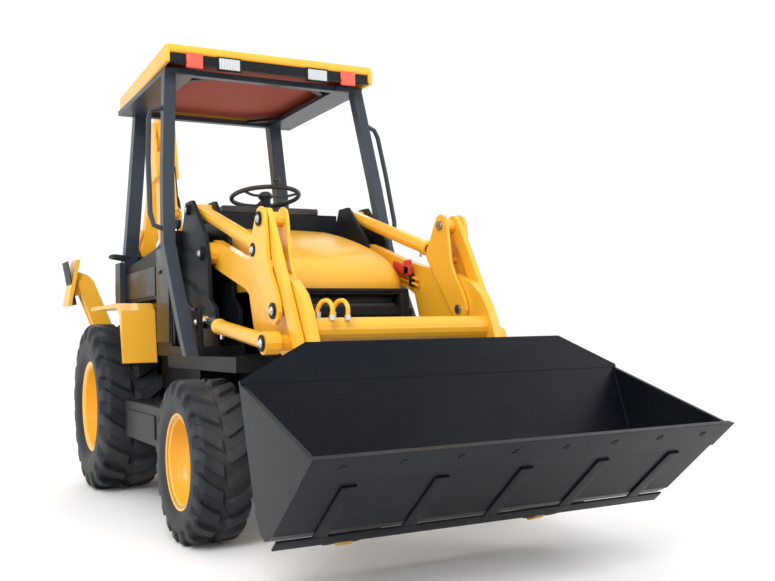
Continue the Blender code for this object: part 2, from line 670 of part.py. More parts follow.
def loader_bucket():
    """A wedge shell open at the front, with a raised back, a cutting edge and ears."""
    rear, heel, tip = (Vector(p) for p in (BUCKET_REAR_TOP, BUCKET_HEEL, BUCKET_TIP))
    up = (rear - heel).normalized()
    forward = (tip - heel).normalized()
    corner = [heel + up * 0.14, heel + up * 0.065 + forward * 0.022,
              heel + up * 0.022 + forward * 0.065, heel + forward * 0.14]
    outer = [tuple(p) for p in (rear, *corner, tip)]
    back_wall = Vector((-up.y, up.x)) * BUCKET_WALL
    floor_wall = Vector((forward.y, -forward.x)) * BUCKET_WALL
    inner = [rear + back_wall + up * 0.40]
    inner += [p + back_wall for p in corner[:2]]
    inner += [p + floor_wall for p in corner[2:]]
    inner += [tip + floor_wall + forward * 0.30, tip + forward * 0.30 + up * 0.60]
    shell = plate(outer, -BUCKET_HALF, BUCKET_HALF)
    hollow = plate([tuple(p) for p in inner], -BUCKET_HALF + SIDE_WALL, BUCKET_HALF - SIDE_WALL)
    cut(shell, hollow)

    lean = math.atan2(up.x, up.y)
    raised = plate(((-BUCKET_HALF, -0.010), (BUCKET_HALF, -0.010), (BUCKET_HALF, 0.004),
                    (BUCKET_BACK_HALF, BUCKET_BACK_RISE), (-BUCKET_BACK_HALF, BUCKET_BACK_RISE),
                    (-BUCKET_HALF, 0.004)), -BUCKET_WALL - 0.001, 0.0008, "y")
    turn = Matrix.Translation((0, rear.x, rear.y)) @ Matrix.Rotation(-lean, 4, "X")
    raised.data.transform(turn)

    lip = tip + forward * 0.012
    lip_inner = lip - forward * EDGE_DEPTH
    lift = Vector((forward.y, -forward.x)) * EDGE_THICK
    below = Vector((forward.y, -forward.x)) * -0.004
    edge_outline = [tuple(p) for p in (lip + below, lip_inner + below, lip_inner + lift,
                                       lip - forward * 0.02 + lift)]
    edge = plate(edge_outline, -BUCKET_HALF - 0.006, BUCKET_HALF + 0.006)

    wall_high = heel + up * 0.560 + back_wall * 0.4
    wall_low = heel + up * 0.030 + back_wall * 0.4
    ear_outline = [tuple(wall_high)] + round_end(BUCKET_EAR, 0.055, 100, -60, 5)
    ear_outline += round_end(BUCKET_PIVOT, 0.072, 20, -120, 5) + [tuple(wall_low)]
    ears = []
    for _, side in SIDES:
        ears.append(plate(ear_outline, *span(side, LEVER_INNER)))
        ears.append(plate(ear_outline, *span(side, LEVER_OUTER)))
        ears.append(cross_pin(BUCKET_EAR, span(side, (0.4815, 0.520)), PIN_RADIUS))
    join(shell, raised, edge, *ears)
    cut(shell, bore(BUCKET_PIVOT, (-0.56, 0.56), BUCKET_SHAFT_RADIUS, 16))
    return finish(shell, "loader_bucket", BODIES["bucket"], BLACK, 0.35)


loader_bucket()

# ---- loader cylinders ---------------------------------------------------------------------------
for side_name, side in SIDES:
    tilt_x, lift_x = side * TILT_X, side * LIFT_X
    between_towers = span(side, (TOWER_INNER[1] + SIDE_GAP, TOWER_OUTER[0] - SIDE_GAP))
    between_levers = span(side, (LEVER_INNER[1] + SIDE_GAP, LEVER_OUTER[0] - SIDE_GAP))
    hydraulic(
        "tilt_cylinder_" + side_name, (tilt_x, *TILT_BASE), (tilt_x, *TILT_EYE),
        TILT_TUBE, 0.036, 0.021, TILT_INNER, (BODIES["tilt_barrels"], BODIES["tilt_rods"]),
        (((between_towers[0], *TILT_BASE), (between_towers[1], *TILT_BASE), 0.034),
         ((between_levers[0], *TILT_EYE), (between_levers[1], *TILT_EYE), 0.030)),
    )
    sleeve = span(side, (LIFT_X - 0.035, LIFT_X + 0.035))
    between_plates = span(side, (TOWER_OUTER[1] + SIDE_GAP, TOWER_THIRD[0] - SIDE_GAP))
    hydraulic(
        "lift_cylinder_" + side_name, (lift_x, *LIFT_BASE), (lift_x, *LIFT_EYE),
        LIFT_TUBE, 0.035, 0.021, LIFT_INNER, (BODIES["lift_barrels"], BODIES["lift_rods"]),
        (((sleeve[0], *LIFT_BASE), (sleeve[1], *LIFT_BASE), 0.050),
         ((between_plates[0], *LIFT_EYE), (between_plates[1], *LIFT_EYE), 0.034)),
        (bore(LIFT_BASE, span(side, (0.50, 0.64)), LIFT_PIN_RADIUS), None),
    )


# ---- backhoe ---------------------------------------------------------------------------------------
def swing_post():
    """Casting that swings between the frame's lugs and carries the boom's foot."""
    post = bar((0, SWING_Y, SWING_LUGS[1] + FIT), (0, SWING_Y, SWING_LUGS[2] - FIT), 0.085, 16)
    cheeks = []
    outline = ([(SWING_Y - 0.03, 0.620), (SWING_Y + 0.06, 0.610)]
               + round_end(BOOM_FOOT, 0.085, -60, 60, 5)
               + [(SWING_Y + 0.175, 0.960), (SWING_Y + 0.130, 1.075)]
               + round_end(BOOM_CYLINDER_BASE, 0.042, 30, 240, 6)
               + [(SWING_Y + 0.075, 1.040), (SWING_Y + 0.075, 0.975), (SWING_Y - 0.03, 0.975)])
    for _, side in SIDES:
        layer = span(side, (BOOM_LAYER + RUNNING, BOOM_LAYER + RUNNING + 0.020))
        cheeks.append(plate(outline, *layer))
        cheeks.append(cross_pin(BOOM_FOOT, span(side, (BOOM_LAYER + SIDE_GAP,
                                                       BOOM_LAYER + RUNNING + 0.03)), 0.045))
    web = block((-0.10, 0.10), (SWING_Y - 0.02, SWING_Y + 0.070), (0.640, 0.960))
    return finish(join(web, post, *cheeks), "swing_post", BODIES["swing"], YELLOW)


def hoe_boom():
    length = (Vector(BOOM_TIP) - Vector(BOOM_FOOT)).length
    a = BOOM_ANGLE
    outline = (round_end(BOOM_FOOT, 0.080, math.degrees(a) + 100, math.degrees(a) + 260, 5)
               + [at_angle(BOOM_FOOT, a, 0.55, -0.105), at_angle(BOOM_FOOT, a, 1.05, -0.115),
                  at_angle(BOOM_FOOT, a, length - 0.30, -0.085)]
               + round_end(BOOM_TIP, 0.070, math.degrees(a) - 80, math.degrees(a) + 80, 5)
               + [at_angle(BOOM_FOOT, a, length - 0.30, 0.078), at_angle(BOOM_FOOT, a, 1.20, 0.085),
                  at_angle(BOOM_FOOT, a, 0.75, 0.088), at_angle(BOOM_FOOT, a, 0.25, 0.082)])
    body_plate = plate(outline, -BOOM_BODY, BOOM_BODY)
    foot = bar_x(BOOM_FOOT, BOOM_LAYER, 0.060)
    fork = plate([at_angle(BOOM_FOOT, a, length - 0.42, -0.079),
                  at_angle(BOOM_FOOT, a, length - 0.42, 0.074)]
                 + round_end(BOOM_TIP, 0.066, math.degrees(a) + 78, math.degrees(a) - 78, 5),
                 -BOOM_LAYER - 0.02, BOOM_LAYER + 0.02)
    slot_outline = ([at_angle(BOOM_TIP, a, -0.27, -0.30), at_angle(BOOM_TIP, a, 0.20, -0.30),
                     at_angle(BOOM_TIP, a, 0.20, 0.30), at_angle(BOOM_TIP, a, -0.17, 0.30)])
    slot = plate(slot_outline, -BOOM_LAYER, BOOM_LAYER)
    ears = []
    ear = ([at_angle(BOOM_EYE, a, -0.11, -0.11), at_angle(DIPPER_CYLINDER_BASE, a, 0.14, -0.12)]
           + round_end(DIPPER_CYLINDER_BASE, 0.042, math.degrees(a) + 45, math.degrees(a) + 100, 3)
           + round_end(BOOM_EYE, 0.042, math.degrees(a) + 80, math.degrees(a) + 150, 3))
    for _, side in SIDES:
        ears.append(plate(ear, *span(side, (EAR_GAP, EAR_GAP + 0.016))))
    boom = cut(join(body_plate, fork), slot)
    return finish(join(boom, foot, *ears), "hoe_boom", BODIES["boom"], YELLOW)


def hoe_dipper():
    a = DIPPER_ANGLE
    degrees = math.degrees(a)
    horn = math.degrees(DIPPER_LEVER_ANGLE)
    outline = (round_end(DIPPER_HORN, 0.045, horn - 75, horn + 75, 4)
               + [at_angle(BOOM_TIP, a, 0.02, -0.085), at_angle(BOOM_TIP, a, 0.35, -0.075)]
               + round_end(DIPPER_TIP, 0.045, degrees - 80, degrees + 80, 4)
               + [at_angle(BOOM_TIP, a, 0.92, 0.034), at_angle(BOOM_TIP, a, 0.62, 0.038),
                  at_angle(BOOM_TIP, a, 0.35, 0.068), at_angle(BOOM_TIP, a, 0.05, 0.105)])
    body_plate = plate(outline, -DIPPER_BODY, DIPPER_BODY)
    boss = bar_x(BOOM_TIP, BOOM_LAYER - SIDE_GAP, 0.056)
    ears = []
    ear = ([at_angle(HOE_CYLINDER_BASE, a, 0.13, -0.09), at_angle(HOE_CYLINDER_BASE, a, 0.04, 0.032)]
           + [at_angle(HOE_CYLINDER_BASE, a, -0.03, 0.036),
              at_angle(HOE_CYLINDER_BASE, a, -0.07, -0.07)])
    slot = [at_angle(DIPPER_HORN, DIPPER_LEVER_ANGLE, along, off)
            for along, off in ((0.070, 0.150), (-0.168, 0.150), (-0.168, -0.150), (0.070, -0.150))]
    for _, side in SIDES:
        ears.append(plate(ear, *span(side, (EAR_GAP, EAR_GAP + 0.016))))
    ears.append(bar_x(DIPPER_TIP, HOE_EARS[0] - SIDE_GAP, 0.032))
    dipper = join(body_plate, boss, *ears)
    cut(dipper, plate(slot, -EAR_GAP, EAR_GAP))
    cut(dipper, bore(HOE_LEVER_PIVOT, (-2 * DIPPER_BODY, 2 * DIPPER_BODY), HOE_LEVER_PIN))
    return finish(dipper, "hoe_dipper", BODIES["dipper"], YELLOW)


def hoe_linkage():
    """Lever on the dipper and link to the bucket, each two plates on one pin."""
    lever_layer = (HOE_LEVER_GAP, HOE_LEVER_GAP + LINK_PLATE)
    link_layer = (lever_layer[1] + RUNNING, lever_layer[1] + RUNNING + LINK_PLATE)
    levers, links = [], []
    for _, side in SIDES:
        levers.append(plate(strap(HOE_LEVER_PIVOT, HOE_LEVER_TOP, 0.034, 0.032),
                            *span(side, lever_layer)))
        links.append(plate(strap(HOE_LEVER_TOP, HOE_BUCKET_PIN, 0.036, 0.036),
                           *span(side, link_layer)))
        links.append(cross_pin(HOE_LEVER_TOP, span(side, (lever_layer[1] + SIDE_GAP,
                                                          link_layer[0] + 0.002)), 0.026))
    lever_pin = bar_x(HOE_LEVER_PIVOT, lever_layer[1] - 0.002, HOE_LEVER_PIN)
    finish(join(lever_pin, *levers), "hoe_lever", BODIES["hoe_lever"], YELLOW)
    link_bar = bar_x(HOE_BUCKET_PIN, link_layer[0] + 0.002, HOE_PIN_RADIUS)
    finish(join(link_bar, *links), "hoe_link", BODIES["hoe_link"], YELLOW)


def hoe_bucket():
    """Round-backed digging bucket with a toothed lip and two pairs of ears."""
    a = HOE_LINK_ANGLE

    def spot(u, v):
        return at_angle(DIPPER_TIP, a, u, v)

    outer = [spot(*p) for p in HOE_BUCKET_OUTLINE]
    inner = [spot(*p) for p in HOE_BUCKET_HOLLOW]
    shell = plate(outer, -HOE_BUCKET_HALF, HOE_BUCKET_HALF)
    hollow = plate(inner, -HOE_BUCKET_HALF + 0.014, HOE_BUCKET_HALF - 0.014)
    cut(shell, hollow)
    ears = []
    ear = ([spot(-0.030, -0.079)] + [spot(-0.040, 0.0), spot(-0.028, 0.027), spot(0.0, 0.036)]
           + [spot(0.036, 0.022), spot(0.070, -0.012), spot(0.135, -0.012), spot(0.164, 0.022)]
           + [spot(HOE_LINK, 0.036), spot(HOE_LINK + 0.034, 0.018), spot(HOE_LINK + 0.036, -0.079)])
    for _, side in SIDES:
        ears.append(plate(ear, *span(side, HOE_EARS)))
    teeth = []
    for x in (-0.19, -0.095, 0.0, 0.095, 0.19):
        teeth.append(plate([spot(*p) for p in HOE_TOOTH], x - 0.022, x + 0.022))
    join(shell, *ears, *teeth)
    cut(shell, bore(HOE_BUCKET_PIN, (-0.10, 0.10), HOE_PIN_RADIUS))
    return finish(shell, "hoe_bucket", BODIES["hoe_bucket"], BLACK, 0.4)


swing_post()
hoe_boom()
hoe_dipper()
hoe_linkage()
hoe_bucket()

for name, base, eye, length, inner, widths in (
    ("boom", BOOM_CYLINDER_BASE, BOOM_EYE, 0.650, 0.075, (BOOM_LAYER + RUNNING, EAR_GAP)),
    ("dipper", DIPPER_CYLINDER_BASE, DIPPER_HORN, 0.545, 0.475, (EAR_GAP, EAR_GAP)),
    ("hoe", HOE_CYLINDER_BASE, HOE_LEVER_TOP, 0.540, 0.450, (EAR_GAP, HOE_LEVER_GAP)),
):
    ends = []
    for point, width in zip((base, eye), widths):
        half = width - SIDE_GAP
        ends.append(((-half, *point), (half, *point), 0.030))
    title = "bucket_cylinder" if name == "hoe" else name + "_cylinder"
    hydraulic("hoe_" + title, (0, *base), (0, *eye), length, 0.034, 0.020, inner,
              (BODIES[name + "_barrel"], BODIES[name + "_rod"]), ends)


# ---- rear frame and stabilisers ------------------------------------------------------------------
def backhoe_frame():
    """Two cross plates joined by a floor, a middle post and the lugs of the swing post."""
    outline = ((-0.530, 0.385), (0.530, 0.385), (0.530, 0.560), (0.330, 1.245), (-0.330, 1.245),
               (-0.530, 0.560))
    front = plate(outline, REAR_PLATES[0], REAR_PLATES[1], "y")
    rear = plate(outline, REAR_PLATES[2], REAR_PLATES[3], "y")
    middle = block((-0.130, 0.130), (REAR_PLATES[1] - 0.005, REAR_PLATES[2] + 0.005), (0.392, 1.120))
    lugs = []
    for low, high in (SWING_LUGS[:2], SWING_LUGS[2:]):
        lugs.append(block((-0.080, 0.080), (REAR_PLATES[3] - 0.005, SWING_Y), (low, high)))
        lugs.append(bar((0, SWING_Y, low), (0, SWING_Y, high), 0.095, 16))
    return finish(join(front, rear, middle, *lugs), "backhoe_frame", MACHINE, YELLOW)


backhoe_frame()

for side_name, side in SIDES:
    hinge = (side * STAB_PIVOT[0], STAB_PIVOT[1])
    pad_pin = (side * STAB_PAD_PIN[0], STAB_PAD_PIN[1])
    run = Vector(pad_pin) - Vector(hinge)
    lean = math.atan2(run.y, run.x)
    eye = polar(hinge, lean, STAB_CYLINDER_REACH)
    outline = strap(hinge, pad_pin, 0.065, 0.055)
    arms = [plate(outline, STAB_Y + s * STAB_PLATES[0], STAB_Y + s * STAB_PLATES[1], "y")
            for s in (-1, 1)]
    half = (REAR_PLATES[2] - REAR_PLATES[1]) / 2 - SIDE_GAP
    boss = bar((hinge[0], STAB_Y - half, hinge[1]), (hinge[0], STAB_Y + half, hinge[1]), 0.045)
    outside = -side * math.pi / 2
    web = plate([polar(polar(hinge, lean, r), lean + outside, o)
                 for r, o in ((0.36, -0.035), (0.88, -0.035), (0.88, 0.048), (0.36, 0.052))],
                STAB_Y - STAB_PLATES[0] - 0.004, STAB_Y + STAB_PLATES[0] + 0.004, "y")
    pad = plate([polar(polar(pad_pin, math.radians(90) + side * math.radians(10.4), along), 0.0,
                       side * out)
                 for along, out in ((-0.155, 0.075), (0.165, 0.075), (0.165, 0.100),
                                    (-0.155, 0.100))],
                STAB_Y - 0.110, STAB_Y + 0.110, "y")
    bracket = plate([(pad_pin[0] - side * 0.02, pad_pin[1] - 0.06),
                     (pad_pin[0] + side * 0.100, pad_pin[1] - 0.09),
                     (pad_pin[0] + side * 0.068, pad_pin[1] + 0.09),
                     (pad_pin[0] - side * 0.02, pad_pin[1] + 0.06)],
                    STAB_Y - 0.040, STAB_Y + 0.040, "y")
    finish(join(web, boss, pad, bracket, *arms), "stabiliser_" + side_name,
           BODIES["stabiliser_" + side_name], YELLOW)
    base = (side * STAB_CYLINDER_BASE[0], STAB_Y, STAB_CYLINDER_BASE[1])
    inner_half = STAB_PLATES[0] - SIDE_GAP
    hydraulic("stabiliser_cylinder_" + side_name, base, (eye[0], STAB_Y, eye[1]),
              0.500, 0.034, 0.020, 0.080,
              (BODIES["stabiliser_barrel_" + side_name], BODIES["stabiliser_rod_" + side_name]),
              (((base[0], STAB_Y - half, base[2]), (base[0], STAB_Y + half, base[2]), 0.030),
               ((eye[0], STAB_Y - inner_half, eye[1]), (eye[0], STAB_Y + inner_half, eye[1]),
                0.027)))


# ---- operator's station ---------------------------------------------------------------------------


def operator_platform():
    """Floor, side consoles and the dash with its column."""
    floor = block((-0.500, 0.500), (0.992, 2.300), (0.8103, 0.850))
    pieces = []
    for _, side in SIDES:
        pieces.append(plate(((0.995, 0.820), (1.310, 0.820), (1.310, 1.450), (0.995, 1.520)),
                            *span(side, (0.420, 0.600)), "x"))
        pieces.append(plate(((1.290, 1.150), (2.290, 1.150), (2.290, 1.360), (1.290, 1.452)),
                            *span(side, (0.405, 0.598)), "x"))
        pieces.append(block(span(side, (0.470, 0.495)), (1.300, 2.295), (0.830, 1.200)))
    dash = plate(((0.9965, 0.835), (1.130, 0.835), (1.130, 1.540), (1.060, 1.640), (0.9965, 1.640)),
                 -0.422, 0.422)
    column = bar(COLUMN_FOOT, WHEEL_CENTRE - COLUMN_RUN * (HUB_DEPTH + FIT), 0.030)
    return finish(join(floor, dash, column, *pieces), "operator_platform", MACHINE, BLACK, 0.5)


def steering_wheel():
    centre, along = WHEEL_CENTRE, COLUMN_RUN
    points = [(WHEEL_RADIUS + WHEEL_GRIP * math.cos(t), WHEEL_GRIP * math.sin(t))
              for t in (math.radians(90 - 60 * i) for i in range(7))]
    ring = turned(points, centre, along, 24)
    hub = bar(centre - along * HUB_DEPTH, centre + along * 0.020, 0.040)
    across = Vector((1, 0, 0))
    back = along.cross(across)
    spokes = []
    for angle in (90, 210, 330):
        turn = math.radians(angle)
        out = across * math.cos(turn) + back * math.sin(turn)
        spokes.append(bar(centre, centre + out * WHEEL_RADIUS, 0.009, 8))
    return finish(join(ring, hub, *spokes), "steering_wheel", MACHINE, BLACK, 0.4)


def operator_seat():
    base = block((-0.200, 0.200), (1.550, 1.950), (0.850 + FIT, 1.180))
    cushion = plate(((1.460, 1.170), (2.000, 1.170), (2.110, 1.660), (2.020, 1.680), (1.900, 1.300),
                     (1.480, 1.300)), -0.245, 0.245)
    return finish(join(cushion, base), "operator_seat", MACHINE, BLACK, 0.7)


operator_platform()
steering_wheel()
operator_seat()


def fender(side_name, side):
    """Cover over a rear tyre: a top and a narrower front plate."""
    outline = ((1.300, 0.780), (1.330, 0.780), (1.400, 1.062), (1.480, 1.105), (2.240, 1.105),
               (2.240, 1.130), (1.440, 1.130), (1.345, 1.085))
    cover = plate(outline, *span(side, (0.604, 0.800)))
    root = block(span(side, (0.4955, 0.700)), (1.480, 2.235), (1.108, 1.128))
    return finish(join(cover, root), "fender_" + side_name, MACHINE, YELLOW)


for side_name, side in SIDES:
    fender(side_name, side)


# ---- canopy ------------------------------------------------------------------------------------------
FRONT_POST = ((0.660, 0.430, DECK_TOP + FIT), (0.662, 0.520, 0.960), (0.664, 0.815, 1.430),
              (0.642, 0.903, 1.800), (0.588, 1.045, 2.420))
REAR_POST = ((0.560, 2.190, 1.380), (0.545, 2.165, 1.600), (0.522, 2.160, 1.900),
             (0.478, 2.176, 2.420))
GRAB_RAIL = ((0.664, 0.830, 1.500), (0.735, 0.835, 1.530), (0.748, 0.860, 1.600),
             (0.736, 0.938, 1.900), (0.716, 0.995, 2.140), (0.700, 1.010, 2.190),
             (0.610, 0.990, 2.220))


def square_post(points, size):
    """A square tube along straight runs."""
    shape = bmesh.new()
    rings = []
    half = size / 2
    for x, y, z in points:
        corners = ((-half, -half), (half, -half), (half, half), (-half, half))
        rings.append([shape.verts.new((x + dx, y + dy, z)) for dx, dy in corners])
    for low, high in zip(rings, rings[1:]):
        for i in range(4):
            shape.faces.new((low[i], low[(i + 1) % 4], high[(i + 1) % 4], high[i]))
    shape.faces.new(rings[0][::-1])
    shape.faces.new(rings[-1])
    return from_bmesh("post", shape)


def canopy_frame():
    pieces = []
    for _, side in SIDES:
        for points, size in ((FRONT_POST, POST_SIZE), (REAR_POST, 0.085)):
            pieces.append(square_post([(side * x, y, z) for x, y, z in points], size))
        pieces.append(tube([(side * x, y, z) for x, y, z in GRAB_RAIL], 0.014))
        pieces.append(block(span(side, (0.440, 0.618)), (1.010, 2.210), (2.4180, ROOF_BOTTOM - FIT)))
        pieces.append(block(span(side, (0.5985 + 0.0019, 0.640)), (2.100, 2.240), (1.1303, 1.420)))
    for y in (1.020, 2.150):
        pieces.append(block((-0.60, 0.60), (y, y + 0.050), (2.4165, ROOF_BOTTOM - 0.0015)))
    return finish(join(*pieces), "canopy_frame", MACHINE, SLATE, 0.4)


def canopy_roof():
    """Roof slab with a recessed underside."""
    outline = ((-ROOF_HALF_FRONT, ROOF_FRONT), (ROOF_HALF_FRONT, ROOF_FRONT),
               (ROOF_HALF_REAR, ROOF_REAR), (-ROOF_HALF_REAR, ROOF_REAR))
    slab = plate(outline, ROOF_BOTTOM, ROOF_TOP, "z")
    return finish(slab, "canopy_roof", MACHINE, YELLOW)


canopy_frame()
canopy_roof()
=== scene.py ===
"""Looks of the compact backhoe loader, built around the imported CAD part.

Places are measured as the part's own are: from the ground under the middle of the front
axle, with y growing to the rear. make() moves them into the row frame.
"""

import json
import math

import bmesh
import bpy
import numpy as np
from mathutils import Matrix, Vector


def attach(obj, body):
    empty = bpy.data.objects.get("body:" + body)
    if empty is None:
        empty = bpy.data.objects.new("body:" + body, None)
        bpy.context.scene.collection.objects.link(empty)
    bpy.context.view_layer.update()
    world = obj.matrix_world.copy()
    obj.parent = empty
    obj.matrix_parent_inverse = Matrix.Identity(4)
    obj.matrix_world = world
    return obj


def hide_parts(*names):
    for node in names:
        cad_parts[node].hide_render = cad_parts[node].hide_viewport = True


FRONT_AXLE_Y = -1.294
SIDES = (("right", -1), ("left", 1))

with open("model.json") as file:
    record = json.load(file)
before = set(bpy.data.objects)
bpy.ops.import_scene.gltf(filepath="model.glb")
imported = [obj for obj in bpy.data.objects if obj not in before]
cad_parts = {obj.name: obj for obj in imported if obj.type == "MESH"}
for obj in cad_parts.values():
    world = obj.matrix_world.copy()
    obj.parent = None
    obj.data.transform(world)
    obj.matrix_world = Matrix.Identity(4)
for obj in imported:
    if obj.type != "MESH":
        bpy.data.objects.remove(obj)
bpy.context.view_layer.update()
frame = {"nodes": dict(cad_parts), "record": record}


# ---- shader expressions ---------------------------------------------------------------------
class Value:
    """A node's output inside an expression: each operator adds a Math node."""

    def __init__(self, shader, socket):
        self.shader = shader
        self.socket = socket

    def math(self, operation, first, second):
        return self.shader.node("ShaderNodeMath", {"operation": operation}, {0: first, 1: second})

    def __add__(self, other):
        return self.math("ADD", self, other)

    def __radd__(self, other):
        return self.math("ADD", other, self)

    def __sub__(self, other):
        return self.math("SUBTRACT", self, other)

    def __rsub__(self, other):
        return self.math("SUBTRACT", other, self)

    def __mul__(self, other):
        return self.math("MULTIPLY", self, other)

    def __rmul__(self, other):
        return self.math("MULTIPLY", other, self)

    def __truediv__(self, other):
        return self.math("DIVIDE", self, other)


class Shader:
    """A material's node tree around one Principled BSDF."""

    def __init__(self, name):
        self.material = bpy.data.materials.new(name)
        self.material.use_nodes = True
        self.tree = self.material.node_tree
        self.surface = self.tree.nodes["Principled BSDF"]
        self.place = self.node("ShaderNodeTexCoord", output="Object")

    def node(self, kind, settings=None, inputs=None, output=0):
        made = self.tree.nodes.new(kind)
        for key, value in (settings or {}).items():
            setattr(made, key, value)
        self.feed(made, inputs or {})
        return Value(self, made.outputs[output])

    def feed(self, node, inputs):
        for key, value in inputs.items():
            if isinstance(value, Value):
                self.tree.links.new(value.socket, node.inputs[key])
            else:
                node.inputs[key].default_value = value

    def noise(self, scale, detail=2.0, stretch=(1.0, 1.0, 1.0)):
        where = self.node("ShaderNodeVectorMath", {"operation": "MULTIPLY"},
                          {0: self.place, 1: stretch})
        return self.node("ShaderNodeTexNoise", None,
                         {"Vector": where, "Scale": scale, "Detail": detail})

    def step(self, value, low, high):
        return self.node("ShaderNodeMapRange", {"interpolation_type": "SMOOTHSTEP"},
                         {"Value": value, "From Min": low, "From Max": high})

    def blend(self, factor, first, second):
        return self.node("ShaderNodeMix", {"data_type": "RGBA"},
                         {0: factor, 6: colour(first), 7: colour(second)}, output=2)

    def height(self):
        return self.node("ShaderNodeSeparateXYZ", None, {0: self.place}, output=2)

    def bump(self, height, strength, distance, normal=None):
        inputs = {"Height": height, "Strength": strength, "Distance": distance}
        if normal:
            inputs["Normal"] = normal
        return self.node("ShaderNodeBump", None, inputs)

    def rounded_edges(self, radius):
        return self.node("ShaderNodeBevel", {"samples": 4}, {"Radius": radius})

    def finish(self, **inputs):
        self.feed(self.surface, {key.replace("_", " "): value for key, value in inputs.items()})
        return self.material


def colour(value):
    return value if isinstance(value, Value) else (*value, 1.0)


DUST = (0.30, 0.27, 0.23)


def paint(name, main, shade, roughness, coat=0.3, edge=0.004, dust=0.10, wear=0.0, shine=0.5):
    """Sprayed paint: slow tone changes, a dust film near the ground, rounded edges."""
    s = Shader(name)
    broad = s.noise(1.4)
    fine = s.noise(26.0, 4.0)
    low = 1.0 - s.step(s.height(), 0.05, 1.0)
    film = s.step(broad * 0.5 + fine * 0.5 + low * 0.22, 0.50, 0.85) * dust
    base = s.blend(film, s.blend(s.step(broad, 0.35, 0.70), main, shade), DUST)
    if wear:
        streak = s.noise(30.0, 3.0, (0.25, 1.0, 1.6))
        rub = s.step(streak + fine * 0.30, 0.78, 0.90) * wear
        base = s.blend(rub, base, (0.20, 0.20, 0.20))
        film = film + rub * 0.5
    grain = s.noise(190.0, 2.0)
    return s.finish(
        Base_Color=base, Roughness=roughness + film * 0.5 + fine * 0.08,
        Coat_Weight=coat, Coat_Roughness=0.12, Metallic=0.0, Specular_IOR_Level=shine,
        Normal=s.bump(grain, 0.06, 0.0003, s.rounded_edges(edge)))


def metal(name, tone, roughness, stretch=(1.0, 1.0, 1.0), stain=(0.10, 0.08, 0.06), amount=0.3):
    """Bare metal: fine directional scratches and slow stains."""
    s = Shader(name)
    scratch = s.noise(140.0, 3.0, stretch)
    stains = s.step(s.noise(9.0, 4.0), 0.50, 0.75) * amount
    return s.finish(Base_Color=s.blend(stains, tone, stain), Metallic=1.0 - stains,
                    Roughness=roughness + scratch * 0.12 + stains * 0.4,
                    Normal=s.bump(scratch, 0.08, 0.0003, s.rounded_edges(0.0015)))


def soft(name, tone, shade, roughness, grain_scale, depth, dust=0.12):
    """Rubber, vinyl or moulded plastic: a pebbled grain and a dull film."""
    s = Shader(name)
    grain = s.noise(grain_scale, 3.0)
    broad = s.noise(3.0, 3.0)
    film = s.step(broad, 0.42, 0.72) * dust
    return s.finish(Base_Color=s.blend(film, s.blend(grain, tone, shade), DUST),
                    Roughness=roughness + film * 0.6 - grain * 0.08, Metallic=0.0,
                    Specular_IOR_Level=0.3, Normal=s.bump(grain, 0.25, depth))


def lens(name, tone, glow, ribs_white):
    """Ribbed lamp glass: fine bars moulded across the lens."""
    s = Shader(name)
    ribs = s.node("ShaderNodeTexWave", None,
                  {"Vector": s.place, "Scale": 34.0, "Distortion": 0.4})
    return s.finish(Base_Color=s.blend(ribs * ribs_white, tone, (0.9, 0.9, 0.9)),
                    Roughness=0.08 + ribs * 0.06, Metallic=0.0, Coat_Weight=0.8,
                    Emission_Color=colour(tone), Emission_Strength=glow,
                    Normal=s.bump(ribs, 0.5, 0.002))


def screen(name):
    """Woven radiator screen: two crossing sets of fine wires."""
    s = Shader(name)
    across = s.node("ShaderNodeTexWave", None, {"Vector": s.place, "Scale": 42.0})
    upright = s.node("ShaderNodeTexWave", {"bands_direction": "Z"},
                     {"Vector": s.place, "Scale": 42.0})
    wire = s.step(across * upright, 0.10, 0.5)
    return s.finish(Base_Color=s.blend(wire, (0.035, 0.038, 0.042), (0.004, 0.004, 0.005)),
                    Roughness=0.45 + wire * 0.3, Metallic=0.0, Normal=s.bump(wire, 0.6, 0.002))


YELLOW = paint("yellow_paint_look", (0.90, 0.465, 0.028), (0.84, 0.41, 0.020), 0.34)
BLACK = paint("black_paint_look", (0.007, 0.009, 0.011), (0.011, 0.013, 0.016), 0.38,
              coat=0.0, dust=0.03, shine=0.15)
PANEL = paint("panel_look", (0.009, 0.016, 0.016), (0.006, 0.010, 0.011), 0.28,
              coat=0.15, dust=0.02, shine=0.3)
SLATE = paint("slate_paint_look", (0.026, 0.036, 0.050), (0.020, 0.028, 0.040), 0.36,
              coat=0.1, dust=0.05, shine=0.35)
BUCKET = paint("bucket_paint_look", (0.004, 0.006, 0.010), (0.007, 0.009, 0.013), 0.30,
               coat=0.0, dust=0.01, wear=0.02, shine=0.12)
RED = paint("red_paint_look", (0.55, 0.020, 0.022), (0.45, 0.016, 0.018), 0.30)
RUBBER = soft("tyre_look", (0.009, 0.012, 0.017), (0.016, 0.020, 0.026), 0.60, 55.0, 0.0010)
HOSE = soft("hose_look", (0.010, 0.010, 0.011), (0.018, 0.018, 0.019), 0.45, 90.0, 0.0005, 0.05)
VINYL = soft("vinyl_look", (0.014, 0.014, 0.016), (0.024, 0.024, 0.027), 0.42, 130.0, 0.0008)
PLASTIC = soft("plastic_look", (0.016, 0.017, 0.019), (0.022, 0.023, 0.026), 0.38, 260.0, 0.0003)
# painted shade: a darker, redder copy of the roof's yellow, for the shaded underside of the roof
ROOF_SHADE_PAINT = soft("painted_roof_shade_look", (0.36, 0.050, 0.022), (0.30, 0.040, 0.018), 0.70, 70.0, 0.0008, 0.05)
CHROME = metal("chrome_look", (0.74, 0.78, 0.82), 0.05, amount=0.05)
STEEL = metal("steel_look", (0.42, 0.41, 0.39), 0.26, stretch=(0.2, 1.0, 1.0))
ZINC = metal("zinc_look", (0.66, 0.67, 0.66), 0.28, amount=0.12)
